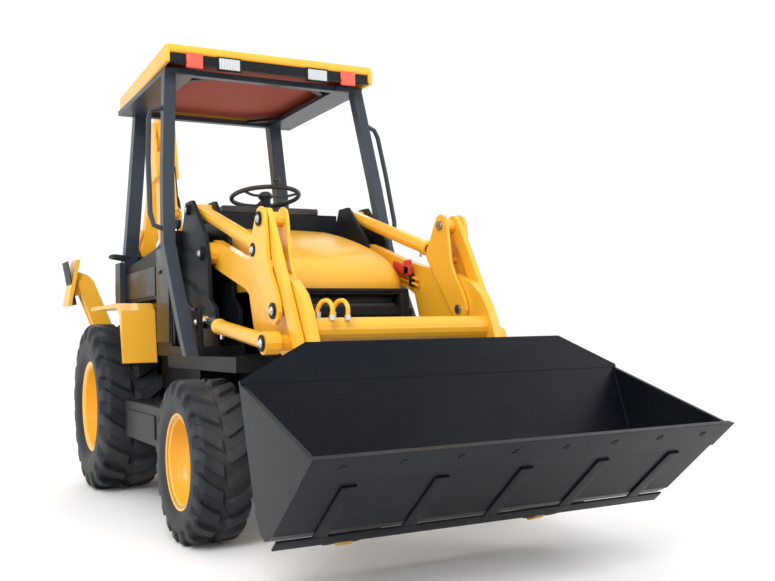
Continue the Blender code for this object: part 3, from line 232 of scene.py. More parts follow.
AMBER = lens("amber_look", (0.75, 0.050, 0.008), 0.03, 0.03)
CLEAR = lens("clear_look", (0.34, 0.38, 0.40), 0.0, 0.45)
SCREEN = screen("screen_look")

LOOKS = {"tyre_rubber": RUBBER, "chrome_rod": CHROME, "pin_steel": STEEL, "seat_vinyl": VINYL,
         "slate_paint": SLATE, "black_paint": BLACK, "black_plastic": PLASTIC,
         "bucket_paint": BUCKET, "yellow_paint": YELLOW}
for part in frame["record"]["subparts"]:
    node = frame["nodes"].get(part["node"])
    if node:
        node.data.materials.clear()
        node.data.materials.append(LOOKS[part["material_slot"]])


# ---- surfaces -------------------------------------------------------------------------------
def grid(points, close_u=False, close_v=False):
    """Quads over points[u, v]; either way can close on itself."""
    points = np.asarray(points, float)
    nu, nv = points.shape[:2]
    faces = []
    for i in range(nu if close_u else nu - 1):
        for j in range(nv if close_v else nv - 1):
            k, m = (i + 1) % nu, (j + 1) % nv
            faces.append((i * nv + j, k * nv + j, k * nv + m, i * nv + m))
    return points.reshape(-1, 3), faces


def frame_of(axis):
    """Two unit vectors square to an axis, and the axis itself."""
    axis = np.asarray(axis, float) / np.linalg.norm(axis)
    helper = np.array((0.0, 0.0, 1.0)) if abs(axis[2]) < 0.9 else np.array((0.0, 1.0, 0.0))
    first = np.cross(helper, axis)
    first /= np.linalg.norm(first)
    return first, np.cross(axis, first), axis


def lathe(profile, centre, axis, steps=32):
    """Surface of revolution: centre + a axis + r (cos t p + sin t q) for each (r, a)."""
    p, q, n = frame_of(axis)
    turn = np.linspace(0.0, math.tau, steps, endpoint=False)
    ring = np.cos(turn)[:, None] * p + np.sin(turn)[:, None] * q
    points = [[np.asarray(centre) + n * a + spoke * r for r, a in profile] for spoke in ring]
    return grid(points, close_u=True)


def smooth_path(points, per=8):
    """Catmull-Rom curve through the points, per steps to each span."""
    p = np.asarray(points, float)
    p = np.vstack((2 * p[0] - p[1], p, 2 * p[-1] - p[-2]))
    made = []
    for i in range(1, len(p) - 2):
        for t in np.linspace(0.0, 1.0, per, endpoint=False):
            made.append(0.5 * (2 * p[i] + (p[i + 1] - p[i - 1]) * t
                               + (2 * p[i - 1] - 5 * p[i] + 4 * p[i + 1] - p[i + 2]) * t ** 2
                               + (3 * p[i] - p[i - 1] - 3 * p[i + 1] + p[i + 2]) * t ** 3))
    made.append(p[-2])
    return np.array(made)


def pipe(points, radius, sides=10, per=8):
    """Tube round a smooth path: path(s) + r (cos t p(s) + sin t q(s)), closed at both ends."""
    path = smooth_path(points, per)
    run = np.gradient(path, axis=0)
    p = frame_of(run[0])[0]
    rings = []
    turn = np.linspace(0.0, math.tau, sides, endpoint=False)
    for here, along in zip(path, run):
        n = along / np.linalg.norm(along)
        p = p - n * np.dot(p, n)
        p /= np.linalg.norm(p)
        q = np.cross(n, p)
        rings.append([here + radius * (math.cos(t) * p + math.sin(t) * q) for t in turn])
    rings.insert(0, [path[0]] * sides)
    rings.append([path[-1]] * sides)
    return grid(rings, close_v=True)


def rounded(centre, half, radius, turn=None, steps=3):
    """Box with rounded edges: q + r (p - q) / |p - q|, where p runs over the box and q is
    p held inside the box shrunk by r."""
    half = np.asarray(half, float)
    radius = min(radius, half.min() * 0.98)
    corner = [radius * math.tan(k * math.pi / 4 / steps) for k in range(steps + 1)]
    lines = [np.array([-(h - radius) - c for c in reversed(corner)]
                      + [h - radius + c for c in corner]) for h in half]
    vertices, faces = [], []
    for axis in range(3):
        a, b = (axis + 1) % 3, (axis + 2) % 3
        for side in (-1, 1):
            points = np.zeros((len(lines[a]), len(lines[b]), 3))
            points[..., axis] = side * half[axis]
            points[..., a] = lines[a][:, None]
            points[..., b] = lines[b][None, :]
            inside = np.clip(points, -(half - radius), half - radius)
            out = points - inside
            points = inside + radius * out / np.linalg.norm(out, axis=-1, keepdims=True)
            more, quads = grid(points)
            faces += [tuple(i + len(vertices) for i in q) for q in quads]
            vertices += list(more)
    vertices = np.array(vertices)
    if turn is not None:
        vertices = vertices @ np.array(turn.to_3x3()).T
    return vertices + np.asarray(centre), faces


def tilt(degrees, axis="X"):
    return Matrix.Rotation(math.radians(degrees), 3, axis)


def bolt(centre, axis, radius, height):
    """Hexagon head on a round washer."""
    head = lathe([(0, height), (radius * 0.86, height), (radius, height * 0.8), (radius, 0)],
                 centre, axis, 6)
    washer = lathe([(0, height * 0.25), (radius * 1.4, height * 0.25), (radius * 1.5, height * 0.1),
                    (radius * 1.5, -0.001)], centre, axis, 20)
    return [head, washer]


def cap(centre, axis, radius, height, dome=0.25):
    """Turned pin head: a flat disc with a chamfered rim and a centre dimple."""
    return lathe([(0, height * (1 - dome)), (radius * 0.30, height * (1 - dome)),
                  (radius * 0.38, height), (radius * 0.88, height), (radius, height * 0.7),
                  (radius, -0.001)], centre, axis, 28)


def make(name, body, look, parts, replaces=(), angle=38.0):
    """One object from parts, each (vertices, faces), moving with a CAD body."""
    mesh = bpy.data.meshes.new(name)
    vertices, faces = [], []
    for points, quads in parts:
        faces += [tuple(i + len(vertices) for i in q) for q in quads]
        vertices += [(x, y + FRONT_AXLE_Y, z) for x, y, z in points]
    mesh.from_pydata(vertices, [], faces)
    shape = bmesh.new()
    shape.from_mesh(mesh)
    bmesh.ops.remove_doubles(shape, verts=shape.verts, dist=0.00005)
    bmesh.ops.dissolve_degenerate(shape, edges=shape.edges, dist=0.00002)
    bmesh.ops.recalc_face_normals(shape, faces=shape.faces)
    shape.to_mesh(mesh)
    shape.free()
    for face in mesh.polygons:
        face.use_smooth = True
    mesh.set_sharp_from_angle(angle=math.radians(angle))
    mesh.materials.append(look)
    made = bpy.data.objects.new(name, mesh)
    bpy.context.scene.collection.objects.link(made)
    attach(made, body)
    for node_name in replaces:
        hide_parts(node_name)
    return made


# ---- wheels ---------------------------------------------------------------------------------
FRONT_WHEEL = dict(x=0.735, y=0.0, radius=0.367, half=0.132, seat=0.196, flange=0.2225,
                   lug=0.021, face=-0.0147, nut_ring=0.100)
REAR_WHEEL = dict(x=0.713, y=1.864, radius=0.507, half=0.1925, seat=0.250, flange=0.279,
                  lug=0.030, face=-0.0207, nut_ring=0.125)
LUGS = 20
NUTS = 8
# one lug's pitch from 0 to 1, and how high the tread stands at each place
LUG_STOPS = ((0.00, 0.0), (0.20, 0.0), (0.36, 0.0), (0.44, 1.0), (0.62, 1.0), (0.86, 1.0),
             (0.94, 0.0))


def tyre(name, side, wheel):
    """Carcass with slanted lugs. Across the tread v runs from bead to bead along a spline;
    round it t = 2 pi (u + s(v)) / LUGS, so every lug's edges follow the grid, and the surface
    sinks by the lug's depth wherever the pattern is low."""
    radius, half, seat, depth = (wheel[key] for key in ("radius", "half", "seat", "lug"))
    h = radius - seat
    right = [(seat, 0.80), (seat + 0.10 * h, 0.84), (seat + 0.30 * h, 0.98), (seat + 0.50 * h, 1.0),
             (seat + 0.72 * h, 0.98), (radius - 0.10 * h, 0.93), (radius - 0.01 * h, 0.80),
             (radius, 0.60), (radius, 0.30), (radius, 0.0)]
    section = np.array([(r, x * half) for r, x in right] + [(r, -x * half) for r, x in right[-2::-1]])
    section = smooth_path(np.column_stack((section, np.zeros(len(section)))), 4)[:, :2]
    r, x = section[:, 0], section[:, 1]
    r = np.minimum(r, radius)
    share = np.clip(x / (half * 0.97), -1, 1)
    tread = np.clip((r - (seat + 0.62 * h)) / (0.16 * h), 0, 1)
    split = np.clip((np.abs(share) - 0.05) / 0.08, 0, 1)
    swing = 0.75 * np.abs(share) ** 1.4 + 0.25 * np.sign(share) * np.clip(np.abs(share) / 0.1, 0, 1)
    normal = np.column_stack((np.gradient(x), -np.gradient(r)))
    normal /= np.linalg.norm(normal, axis=1, keepdims=True)
    if normal[len(normal) // 2, 0] < 0:
        normal = -normal
    rows = []
    for lug in range(LUGS):
        for stop, high in LUG_STOPS:
            sink = depth * tread * (1.0 - high * split)
            rr, xx = r - normal[:, 0] * sink, x - normal[:, 1] * sink
            t = math.tau * (lug + stop + swing) / LUGS
            rows.append(np.column_stack((side * (wheel["x"] + xx), wheel["y"] + rr * np.sin(t),
                                         radius + rr * np.cos(t))))
    make("tread_" + name, "wheel_" + name, RUBBER, [grid(rows, close_u=True)],
         ["tyre_" + name], 30.0)


def rim(name, side, wheel):
    """Pressed disc in a drop-centre rim, with a hub cap and its nuts."""
    half, seat, face, ring = (wheel[key] for key in ("half", "seat", "face", "nut_ring"))
    flange_radius = wheel["flange"]
    flange, bead = half * 0.86, half * 0.80 + 0.004
    wall = seat - 0.008
    profile = [(0, face + 0.052), (0.030, face + 0.052), (0.052, face + 0.044), (0.058, face + 0.020),
               (0.066, face + 0.016), (ring + 0.020, face + 0.016), (ring + 0.040, face + 0.030),
               (wall - 0.030, face + 0.034), (wall - 0.012, face + 0.044), (wall - 0.002, face + 0.075),
               (wall, flange - 0.016), (seat, flange - 0.006), (flange_radius - 0.006, flange),
               (flange_radius, flange - 0.004), (flange_radius, bead), (seat, bead),
               (seat, -bead), (flange_radius, -bead), (flange_radius, -flange),
               (wall, -flange), (wall, face), (0, face)]
    x, y, height = side * wheel["x"], wheel["y"], wheel["radius"]
    centre = (x, y, height)
    axis = (side, 0, 0)
    parts = [lathe(profile, centre, axis, 56)]
    make("wheel_disc_" + name, "wheel_" + name, YELLOW, parts, ["rim_" + name], 30.0)
    parts = []
    for k in range(NUTS):
        t = math.tau * k / NUTS
        parts += bolt((x + side * (face + 0.016), y + ring * math.sin(t),
                       height + ring * math.cos(t)), axis, 0.0115, 0.016)
    parts.append(cap((x + side * (face + 0.050), y, height), axis, 0.034, 0.010))
    make("wheel_nuts_" + name, "wheel_" + name, BLACK, parts)


for side_name, side in SIDES:
    for end, wheel in (("front_", FRONT_WHEEL), ("rear_", REAR_WHEEL)):
        tyre(end + side_name, side, wheel)
        rim(end + side_name, side, wheel)

# ---- hood and nose --------------------------------------------------------------------------
HOOD_HALF = 0.380
HOOD_TOP = [(0.935, 1.535), (0.740, 1.494), (0.560, 1.449), (0.400, 1.402), (0.275, 1.357),
            (0.165, 1.302), (0.100, 1.246), (0.074, 1.195), (0.072, 1.150)]


def hood():
    """A skin swept along its side view: profile(s) - n(s) c(x), where c is the depth of a
    round corner of radius r at x, then straight down to the lower edge."""
    line = smooth_path([(0.0, y, z) for y, z in HOOD_TOP], 6)[:, 1:]
    run = np.gradient(line, axis=0)
    normal = np.column_stack((run[:, 1], -run[:, 0]))
    normal /= np.linalg.norm(normal, axis=1, keepdims=True)
    normal *= np.sign(normal[:, 1] + 1e-9)[:, None]
    normal[:, 0] = -np.abs(normal[:, 0])
    radius = 0.075
    flat = np.linspace(0.0, HOOD_HALF - radius, 7)
    arc = HOOD_HALF - radius + radius * np.sin(np.linspace(0, math.pi / 2, 8))[1:]
    half = np.concatenate((flat, arc))
    across = np.concatenate((-half[::-1], half[1:]))
    over = np.clip(np.abs(across) - (HOOD_HALF - radius), 0, radius)
    corner = radius - np.sqrt(np.maximum(radius ** 2 - over ** 2, 0))
    crown = 0.010 * (1 - (across / HOOD_HALF) ** 2)
    rows = []
    for (y, z), (ny, nz) in zip(line, normal):
        depth = corner + 0.010 - crown
        points = np.column_stack((across, y - ny * depth, np.maximum(z - nz * depth, 1.150)))
        low = points[[0, -1]].copy()
        low[:, 2] = 1.150
        rows.append(np.vstack((low[:1], points, low[1:])))
    shell = make("hood_skin", "root", YELLOW, [grid(rows)], ["hood"], 40.0)
    thick = shell.modifiers.new("wall", "SOLIDIFY")
    thick.thickness = 0.006
    thick.offset = 0.0


hood()
parts = [rounded((0, 0.068, 1.005), (0.292, 0.003, 0.098), 0.002)]
make("nose_screen", "root", SCREEN, parts)
parts = [rounded((0, 0.055, 0.925 + 0.038 * i), (0.294, 0.006, 0.004), 0.003, tilt(-25))
         for i in range(6)]
parts.append(rounded((0, -0.002, 1.140), (0.345, 0.010, 0.009), 0.006))
for _, side in SIDES:
    parts.append(rounded((side * 0.330, 0.000, 0.985), (0.026, 0.010, 0.150), 0.009))
make("nose_louvres", "root", BLACK, parts)
make("nose_bar", "root", SLATE,
     [rounded((0, 0.030, 1.066), (0.290, 0.008, 0.010), 0.005)])
parts = []
for _, side in SIDES:
    parts.append(rounded((side * 0.3815, 0.62, 1.31), (0.002, 0.16, 0.045), 0.0015))
    for i in range(5):
        parts.append(rounded((side * 0.383, 0.50 + i * 0.06, 1.31), (0.0025, 0.018, 0.034), 0.002))
make("hood_vents", "root", BLACK, parts)

# ---- loader pins, tube loops and pipes ------------------------------------------------------
ARM_PIVOT, TILT_BASE, LIFT_EYE = (0.600, 1.360), (0.845, 1.620), (0.470, 1.000)
LEVER_PIVOT, LEVER_TOP, TILT_EYE = (-0.388, 1.032), (-0.233, 1.449), (-0.142, 1.317)
BUCKET_EAR, BUCKET_PIVOT = (-0.715, 0.607), (-0.870, 0.190)
LIFT_BASE = (-0.450, 0.894)


def both(x, point, height, radius, thing):
    """A pin head on each side, at x from the middle, facing outward."""
    made = []
    for _, side in SIDES:
        where, out = (side * x, *point), (side, 0, 0)
        if thing is bolt:
            made += bolt(where, out, radius, height)
        else:
            made.append(thing(where, out, radius, height))
    return made


for name, body, x, point, radius in (
    ("lever_low", "lever_pins", 0.5365, LEVER_PIVOT, 0.036),
    ("lever_high", "link_pins", 0.5365, LEVER_TOP, 0.034),
    ("tilt_eye", "levers", 0.5320, TILT_EYE, 0.032),
    ("bucket_ear", "bucket", 0.5320, BUCKET_EAR, 0.034),
    ("bucket_foot", "bucket_shaft", 0.5450, BUCKET_PIVOT, 0.042),
    ("lift_foot", "loader_arms", 0.6120, LIFT_BASE, 0.036),
    ("tower", "root", 0.5540, ARM_PIVOT, 0.034),
    ("tilt_foot", "root", 0.5520, TILT_BASE, 0.027),
    ("lift_eye", "root", 0.6150, LIFT_EYE, 0.032),
):
    make("washer_" + name, body, BLACK, both(x, point, 0.006, radius, cap))
    make("bolt_" + name, body, ZINC, both(x + 0.005, point, 0.009, radius * 0.36, bolt))

LOOP_FEET = ((-0.400, -0.560), (-0.325, -0.552))   # (x, y) on the torque tube
parts = []
for x, y in LOOP_FEET:
    parts.append(pipe([(x, y, 0.985), (x, y, 1.030), (x + 0.012, y - 0.020, 1.062),
                       (x + 0.026, y - 0.052, 1.066), (x + 0.034, y - 0.074, 1.040),
                       (x + 0.034, y - 0.074, 1.000), (x + 0.034, y - 0.066, 0.975)], 0.010))
make("tube_loops", "loader_arms", YELLOW, parts)
parts = []
for x, y in LOOP_FEET:
    parts += [lathe([(0, 0.03), (0.015, 0.03), (0.016, 0.027), (0.016, 0.0), (0, 0.0)],
                    (x, y, 0.992), (0, 0, 1), 6),
              lathe([(0, 0.02), (0.014, 0.02), (0.014, 0.0), (0, 0.0)],
                    (x + 0.034, y - 0.072, 0.985), (0, 0, 1), 12)]
make("tube_couplers", "loader_arms", ZINC, parts)

parts = []
for _, side in SIDES:
    for drop in (0.0, 0.030):
        parts.append(pipe([(side * 0.419, 0.470, 1.300 - drop), (side * 0.419, 0.300, 1.270 - drop),
                           (side * 0.419, 0.120, 1.225 - drop), (side * 0.419, 0.010, 1.195 - drop)],
                          0.0075))
make("arm_pipes", "loader_arms", YELLOW, parts)
parts = []
for _, side in SIDES:
    for y, z in ((0.400, 1.272), (0.080, 1.198)):
        parts.append(rounded((side * 0.421, y, z), (0.011, 0.014, 0.034), 0.004))
make("arm_clamps", "loader_arms", BLACK, parts)

# ---- cylinder fittings ----------------------------------------------------------------------
def gland(name, body, x_values, base, eye, length, outer):
    """Collar and port fitting near a barrel's open end and its foot."""
    parts, ports = [], []
    for x in x_values:
        start, end = np.array((x, *base)), np.array((x, *eye))
        along = (end - start) / np.linalg.norm(end - start)
        parts.append(lathe([(outer * 0.72, length + 0.012), (outer * 1.02, length + 0.010),
                            (outer * 1.10, length + 0.004), (outer * 1.10, length - 0.030),
                            (outer * 1.0, length - 0.036), (outer * 0.9, length - 0.036)],
                           start, along, 28))
        down = np.array((0.0, along[2], -along[1]))
        down = down if down[2] < 0 else -down
        for place in (0.085, length - 0.060):
            foot = start + along * place + down * outer * 0.85
            ports.append(lathe([(0, 0.026), (0.009, 0.026), (0.011, 0.022), (0.011, 0)],
                               foot, down, 6))
    make(name + "_collar", body, YELLOW, parts)
    make(name + "_ports", body, ZINC, ports)


gland("tilt_barrel", "tilt_barrels", (-0.4675, 0.4675), TILT_BASE, TILT_EYE, 0.900, 0.036)
gland("lift_barrel", "lift_barrels", (-0.572, 0.572), LIFT_BASE, LIFT_EYE, 0.700, 0.035)

# ---- bucket ---------------------------------------------------------------------------------
HEEL, TIP = np.array((-1.135, 0.169)), np.array((-1.596, 0.548))
FORWARD = (TIP - HEEL) / np.linalg.norm(TIP - HEEL)
INTO = np.array((FORWARD[1], -FORWARD[0]))
BACK_TOP = np.array((-0.930, 0.758))
SLOPE = math.degrees(math.atan2(FORWARD[1], -FORWARD[0]))


def on_floor(x, along, above):
    y, z = HEEL + FORWARD * along + INTO * above
    return (x, y, z)


floor_length = float(np.linalg.norm(TIP - HEEL))
BOLT_COUNT, BOLT_PITCH, BOLT_INSET, BOLT_SINK = 8, 0.2186, 0.050, -0.0005
parts = [cap(on_floor(BOLT_PITCH * i - 0.765, floor_length - BOLT_INSET, BOLT_SINK), (0, *-INTO),
             0.016, 0.006) for i in range(BOLT_COUNT)]
make("edge_bolts", "bucket", BUCKET, parts)
parts = [rounded(on_floor(x, 0.26, -0.004), (0.028, 0.170, 0.004), 0.002, tilt(-SLOPE))
         for x in (-0.70, -0.35, 0.0, 0.35, 0.70)]
parts.append(rounded(on_floor(0.0, 0.085, -0.0045), (0.86, 0.028, 0.0045), 0.002, tilt(-SLOPE)))
make("wear_strips", "bucket", BUCKET, parts)
parts = []
back = (BACK_TOP - HEEL) / np.linalg.norm(BACK_TOP - HEEL)
for _, side in SIDES:
    x = side * 0.8625
    seam = [tuple(HEEL + back * k + np.array((-back[1], back[0])) * 0.0155) for k in (0.60, 0.35, 0.16)]
    seam += [tuple(HEEL + FORWARD * k + INTO * 0.0155) for k in (0.16, 0.32, 0.46)]
    parts.append(pipe([(x, *p) for p in seam], 0.004, 8, 10))
    parts.append(pipe([(side * 0.868, *(HEEL + FORWARD * 0.58 + INTO * 0.024)),
                       (side * 0.868, *(HEEL + FORWARD * 0.45 + INTO * 0.024))], 0.004, 8, 4))
make("bucket_welds", "bucket", BUCKET, parts)

# ---- operator's place -----------------------------------------------------------------------
seat_pad = make("seat_pad", "root", VINYL, [
    rounded((0, 1.705, 1.235), (0.200, 0.235, 0.055), 0.050),
    rounded((-0.205, 1.700, 1.250), (0.040, 0.230, 0.052), 0.038),
    rounded((0.205, 1.700, 1.250), (0.040, 0.230, 0.052), 0.038)], ["operator_seat"])
back_pad = make("back_pad", "root", VINYL, [
    rounded((0, 1.990, 1.480), (0.185, 0.050, 0.190), 0.046, tilt(-14)),
    rounded((-0.195, 1.980, 1.470), (0.045, 0.058, 0.175), 0.042, tilt(-14)),
    rounded((0.195, 1.980, 1.470), (0.045, 0.058, 0.175), 0.042, tilt(-14))])
parts = [rounded((0, 1.745, 1.165), (0.215, 0.215, 0.018), 0.010),
         rounded((0, 1.745, 0.875), (0.200, 0.200, 0.024), 0.010)]
parts += [rounded((0, 1.745, 0.918 + 0.045 * i), (0.165 + 0.012 * (i % 2), 0.165 + 0.012 * (i % 2),
                                               0.024), 0.020) for i in range(6)]
make("suspension_boot", "root", PLASTIC, parts)

WHEEL_CENTRE = Vector((0, 1.091, 1.750))
COLUMN = (WHEEL_CENTRE - Vector((0, 1.060, 1.560))).normalized()
grip = [(0.200 + 0.0135 * math.cos(t), 0.0135 * math.sin(t))
        for t in np.linspace(0, math.tau, 13)]
parts = [lathe(grip, WHEEL_CENTRE, COLUMN, 56),
         lathe([(0, 0.026), (0.026, 0.026), (0.040, 0.014), (0.044, -0.004), (0.034, -0.014),
                (0, -0.014)], WHEEL_CENTRE, COLUMN, 28)]
across, along, _ = frame_of(COLUMN)
for degrees in (90, 210, 330):
    out = across * math.cos(math.radians(degrees)) + along * math.sin(math.radians(degrees))
    parts.append(pipe([np.array(WHEEL_CENTRE) + out * 0.03, np.array(WHEEL_CENTRE) + out * 0.12
                       - np.array(COLUMN) * 0.010, np.array(WHEEL_CENTRE) + out * 0.198], 0.008))
knob = np.array(WHEEL_CENTRE) - along * 0.196 + np.array(COLUMN) * 0.014
parts.append(lathe([(0, 0.050), (0.014, 0.047), (0.021, 0.036), (0.020, 0.022), (0.010, 0.012),
                    (0.008, 0.0)], knob, COLUMN, 20))
make("hand_wheel", "root", PLASTIC, parts, ["steering_wheel"])

parts = []
for x, y in ((-0.470, 1.360), (-0.520, 1.372), (0.500, 1.380)):
    parts.append(pipe([(x, y, 1.430), (x, y - 0.010, 1.500), (x + 0.004, y - 0.030, 1.575)], 0.007))
    parts.append(lathe([(0, 0.060), (0.013, 0.056), (0.019, 0.040), (0.016, 0.014), (0.008, 0.0)],
                       (x + 0.004, y - 0.032, 1.570), (0, -0.3, 1), 18))
parts.append(rounded((0, 1.020, 1.655), (0.300, 0.030, 0.022), 0.012))
parts.append(rounded((0, 1.075, 1.625), (0.215, 0.030, 0.030), 0.014, tilt(30)))
make("levers_and_dash", "root", PLASTIC, parts)

parts = [pipe([(side * 0.600, 1.960, 1.440), (side * 0.680, 1.965, 1.452), (side * 0.705, 2.000, 1.455),
               (side * 0.705, 2.090, 1.455), (side * 0.680, 2.125, 1.452), (side * 0.600, 2.130, 1.440)],
              0.011) for _, side in SIDES]
make("side_loops", "root", BLACK, parts)

parts, seams = [], []
for _, side in SIDES:
    parts.append(rounded((side * 0.603, 1.155, 1.165), (0.006, 0.135, 0.270), 0.005))
    parts.append(rounded((side * 0.601, 1.800, 1.255), (0.006, 0.470, 0.085), 0.005))
    seams.append(rounded((side * 0.612, 1.200, 1.300), (0.005, 0.030, 0.010), 0.004))
    seams.append(rounded((side * 0.803, 0.880, 0.470), (0.004, 0.300, 0.060), 0.003))
make("side_panels", "root", PANEL, parts)
make("panel_latches", "root", BLACK, seams)

parts = []
for _, side in SIDES:
    for i in range(11):
        for j in range(3):
            parts.append(rounded((side * (0.640 + 0.058 * j), 0.560 + 0.062 * i, 0.5775),
                                 (0.014, 0.004, 0.0025), 0.002, tilt(40 if (i + j) % 2 else -40, "Z")))
make("step_tread", "root", BLACK, parts)

# ---- hoses ----------------------------------------------------------------------------------
parts = [
    pipe([(-0.560, 0.990, 1.420), (-0.590, 0.900, 1.400), (-0.610, 0.830, 1.280), (-0.600, 0.800, 1.120),
          (-0.585, 0.860, 0.980), (-0.570, 0.960, 0.900)], 0.012),
    pipe([(-0.575, 0.990, 1.340), (-0.620, 0.930, 1.320), (-0.635, 0.880, 1.200), (-0.620, 0.860, 1.060),
          (-0.600, 0.920, 0.940), (-0.580, 0.990, 0.880)], 0.011),
    pipe([(-0.560, 0.990, 1.250), (-0.580, 0.900, 1.220), (-0.585, 0.780, 1.140), (-0.575, 0.700, 1.080),
          (-0.565, 0.640, 1.070)], 0.010),
    pipe([(0.560, 0.990, 1.420), (0.590, 0.900, 1.400), (0.610, 0.830, 1.280), (0.600, 0.800, 1.120),
          (0.585, 0.860, 0.980), (0.570, 0.960, 0.900)], 0.012),
    pipe([(0.560, 0.990, 1.250), (0.580, 0.900, 1.220), (0.585, 0.780, 1.140), (0.575, 0.700, 1.080),
          (0.565, 0.640, 1.070)], 0.010),
]
make("side_hoses", "root", HOSE, parts)


def along_boom(x, along, off):
    """A point beside the backhoe's boom: metres up from its foot and out in front."""
    t = math.atan2(2.600 - 0.780, 3.420 - 3.050)
    return (x, 3.050 + along * math.cos(t) - off * math.sin(t), 0.780 + along * math.sin(t)
            + off * math.cos(t))


parts = [pipe([along_boom(x, 0.30, 0.094), along_boom(x, 0.62, 0.104), along_boom(x, 0.90, 0.104),
               along_boom(x * 1.06, 1.25, 0.102), along_boom(x, 1.52, 0.094)], 0.010)
         for x in (-0.050, 0.050)]
parts += [pipe([along_boom(x, 1.05, 0.104), along_boom(x * 1.2, 1.12, 0.135),
                along_boom(x * 1.1, 1.20, 0.150), along_boom(x * 0.9, 1.28, 0.120)], 0.009)
          for x in (-0.048, 0.048)]
make("boom_hoses", "boom", HOSE, parts)

# ---- red strut and rubber pads --------------------------------------------------------------
parts = [rounded((0.3925, 0.130, 1.262), (0.0115, 0.090, 0.026), 0.008, tilt(14)),
         rounded((0.3925, 0.070, 1.262), (0.0115, 0.030, 0.040), 0.008)]
make("arm_prop", "root", RED, parts)

parts = []
for side_name, side in SIDES:
    body = "stabiliser_" + side_name
    make("pad_plate_" + side_name, body, RUBBER,
         [rounded((side * 0.886, 2.545, 1.303), (0.004, 0.104, 0.150), 0.003,
                  tilt(side * 10.4, "Y"))])
    make("pad_bolts_" + side_name, body, STEEL,
         [cap((side * 0.460, 2.545 + d * 0.130, 0.460), (0, d, 0), 0.030, 0.0045) for d in (-1, 1)])

# ---- canopy roof ----------------------------------------------------------------------------
ROOF_FRONT, ROOF_REAR, ROOF_TAPER = 0.904, 2.250, 0.0698
LAMP_X, SIGNAL_X, LAMP_Z = 0.273, 0.476, 2.470


def taper(part):
    """Narrows a roof part towards the rear: x times (1 - ROOF_TAPER s), s from front to rear."""
    points, faces = part
    share = (points[:, 1] - ROOF_FRONT) / (ROOF_REAR - ROOF_FRONT)
    points = points.copy()
    points[:, 0] *= 1 - ROOF_TAPER * share
    return points, faces


parts = [taper(rounded((0, 1.577, 2.5315), (0.645, 0.673, 0.0265), 0.024, steps=5))]
parts += [taper(rounded((side * 0.630, 1.577, 2.488), (0.0145, 0.672, 0.040), 0.010))
          for _, side in SIDES]
parts.append(rounded((0, 2.238, 2.488), (0.590, 0.011, 0.040), 0.008))
make("roof_skin", "root", YELLOW, parts, ["canopy_roof"])
parts = [rounded((0, 0.926, 2.479), (0.612, 0.010, 0.030), 0.006),
         rounded((0, 0.915, 2.4535), (0.614, 0.010, 0.0045), 0.003)]
for _, side in SIDES:
    parts.append(rounded((side * LAMP_X, 0.914, LAMP_Z), (0.074, 0.008, 0.041), 0.010))
for _, side in SIDES:
    for end in (0, 1):
        parts.append(rounded((side * 0.370, 1.150 + end * 0.900, 2.440), (0.130, 0.022, 0.010), 0.005,
                             tilt(45 if (side > 0) == (end > 0) else -45, "Z").inverted()))
make("roof_fascia", "root", BLACK, parts)
# painted shade: a sheet under the roof in that darker orange, standing for the shade beneath the roof
make("roof_underside_painted_shade", "root", ROOF_SHADE_PAINT,
     [taper(rounded((0, 1.577, 2.4935), (0.600, 0.640, 0.010), 0.006))])
make("work_lamps", "root", CLEAR,
     [rounded((side * LAMP_X, 0.9085, LAMP_Z), (0.062, 0.0045, 0.032), 0.004)
      for _, side in SIDES])
make("turn_lamps", "root", AMBER,
     [rounded((side * SIGNAL_X, 0.9125, LAMP_Z), (0.049, 0.0085, 0.042), 0.012)
      for _, side in SIDES])

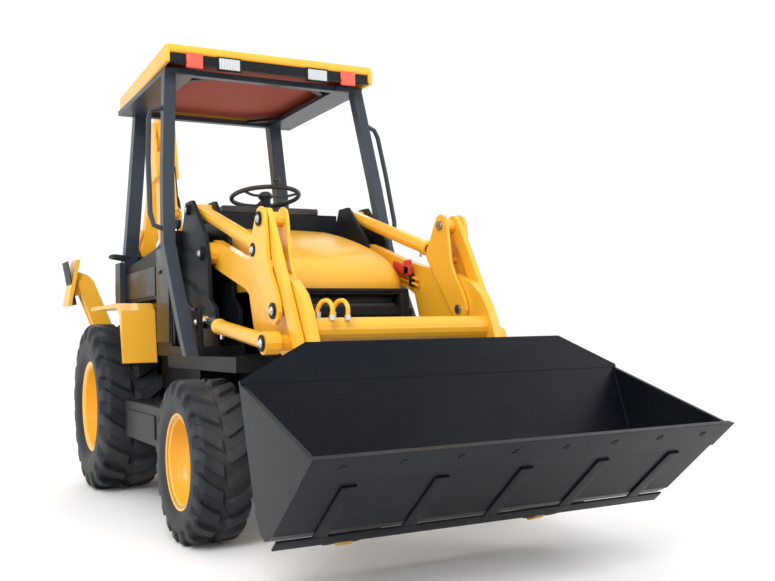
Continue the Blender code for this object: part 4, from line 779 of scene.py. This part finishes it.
# ---- stage, light and camera ----------------------------------------------------------------
stage_look = Shader("stage_look")
speck = stage_look.noise(0.6, 2.0)
stage_look.finish(Base_Color=stage_look.blend(speck, (0.95, 0.95, 0.95), (0.97, 0.97, 0.965)),
                  Roughness=0.85 + speck * 0.05)
sweep = [(0.0, -0.0004), (6.0, -0.0004), (12.0, -0.0004)]
sweep += [(12.0 + 5.0 * math.sin(t), 5.0 - 5.0 * math.cos(t)) for t in np.linspace(0.15, math.pi / 2, 12)]
sweep.append((17.0, 11.0))
vertices, faces = lathe(sweep, (0, 0, 0), (0, 0, 1), 72)
mesh = bpy.data.meshes.new("studio_floor")
mesh.from_pydata([tuple(v) for v in vertices], [], faces)
for face in mesh.polygons:
    face.use_smooth = True
mesh.materials.append(stage_look.material)
floor = bpy.data.objects.new("studio_floor", mesh)
bpy.context.scene.collection.objects.link(floor)

world = bpy.data.worlds.new("studio")
world.use_nodes = True
world.node_tree.nodes["Background"].inputs["Color"].default_value = (1.0, 1.0, 1.0, 1.0)
world.node_tree.nodes["Background"].inputs["Strength"].default_value = 1.0
bpy.context.scene.world = world


def soft_box(name, place, size, energy):
    """Square lamp aimed at the machine's middle."""
    data = bpy.data.lights.new(name, "AREA")
    data.size = size
    data.energy = energy
    lamp = bpy.data.objects.new(name, data)
    lamp.location = place
    lamp.rotation_mode = "QUATERNION"
    lamp.rotation_quaternion = (Vector((0, -0.3, 1.0)) - Vector(place)).to_track_quat("-Z", "Y")
    bpy.context.scene.collection.objects.link(lamp)


soft_box("key", (-4.5, -6.5, 6.5), 3.5, 430.0)
soft_box("fill", (6.0, -5.0, 4.0), 4.0, 120.0)
soft_box("rim", (1.5, 7.0, 7.0), 4.0, 260.0)

data = bpy.data.cameras.new("view")
data.sensor_width = 36.0
data.lens = 44.25
data.clip_end = 100.0
camera = bpy.data.objects.new("view", data)
yaw, pitch, roll = (math.radians(a) for a in (27.99, 2.417, -1.195))
ahead = Vector((math.sin(yaw), math.cos(yaw), 0))
right = Vector((math.cos(yaw), -math.sin(yaw), 0))
look = ahead * math.cos(pitch) + Vector((0, 0, 1)) * math.sin(pitch)
up = right.cross(look)
turned_right = right * math.cos(roll) + up * math.sin(roll)
turned_up = up * math.cos(roll) - right * math.sin(roll)
camera.matrix_world = Matrix.Translation((-2.024, -5.542, 0.936)) @ Matrix(
    (turned_right, turned_up, -look)).transposed().to_4x4()
bpy.context.scene.collection.objects.link(camera)
bpy.context.scene.camera = camera
bpy.context.scene.view_settings.view_transform = "Standard"

bpy.context.view_layer.update()
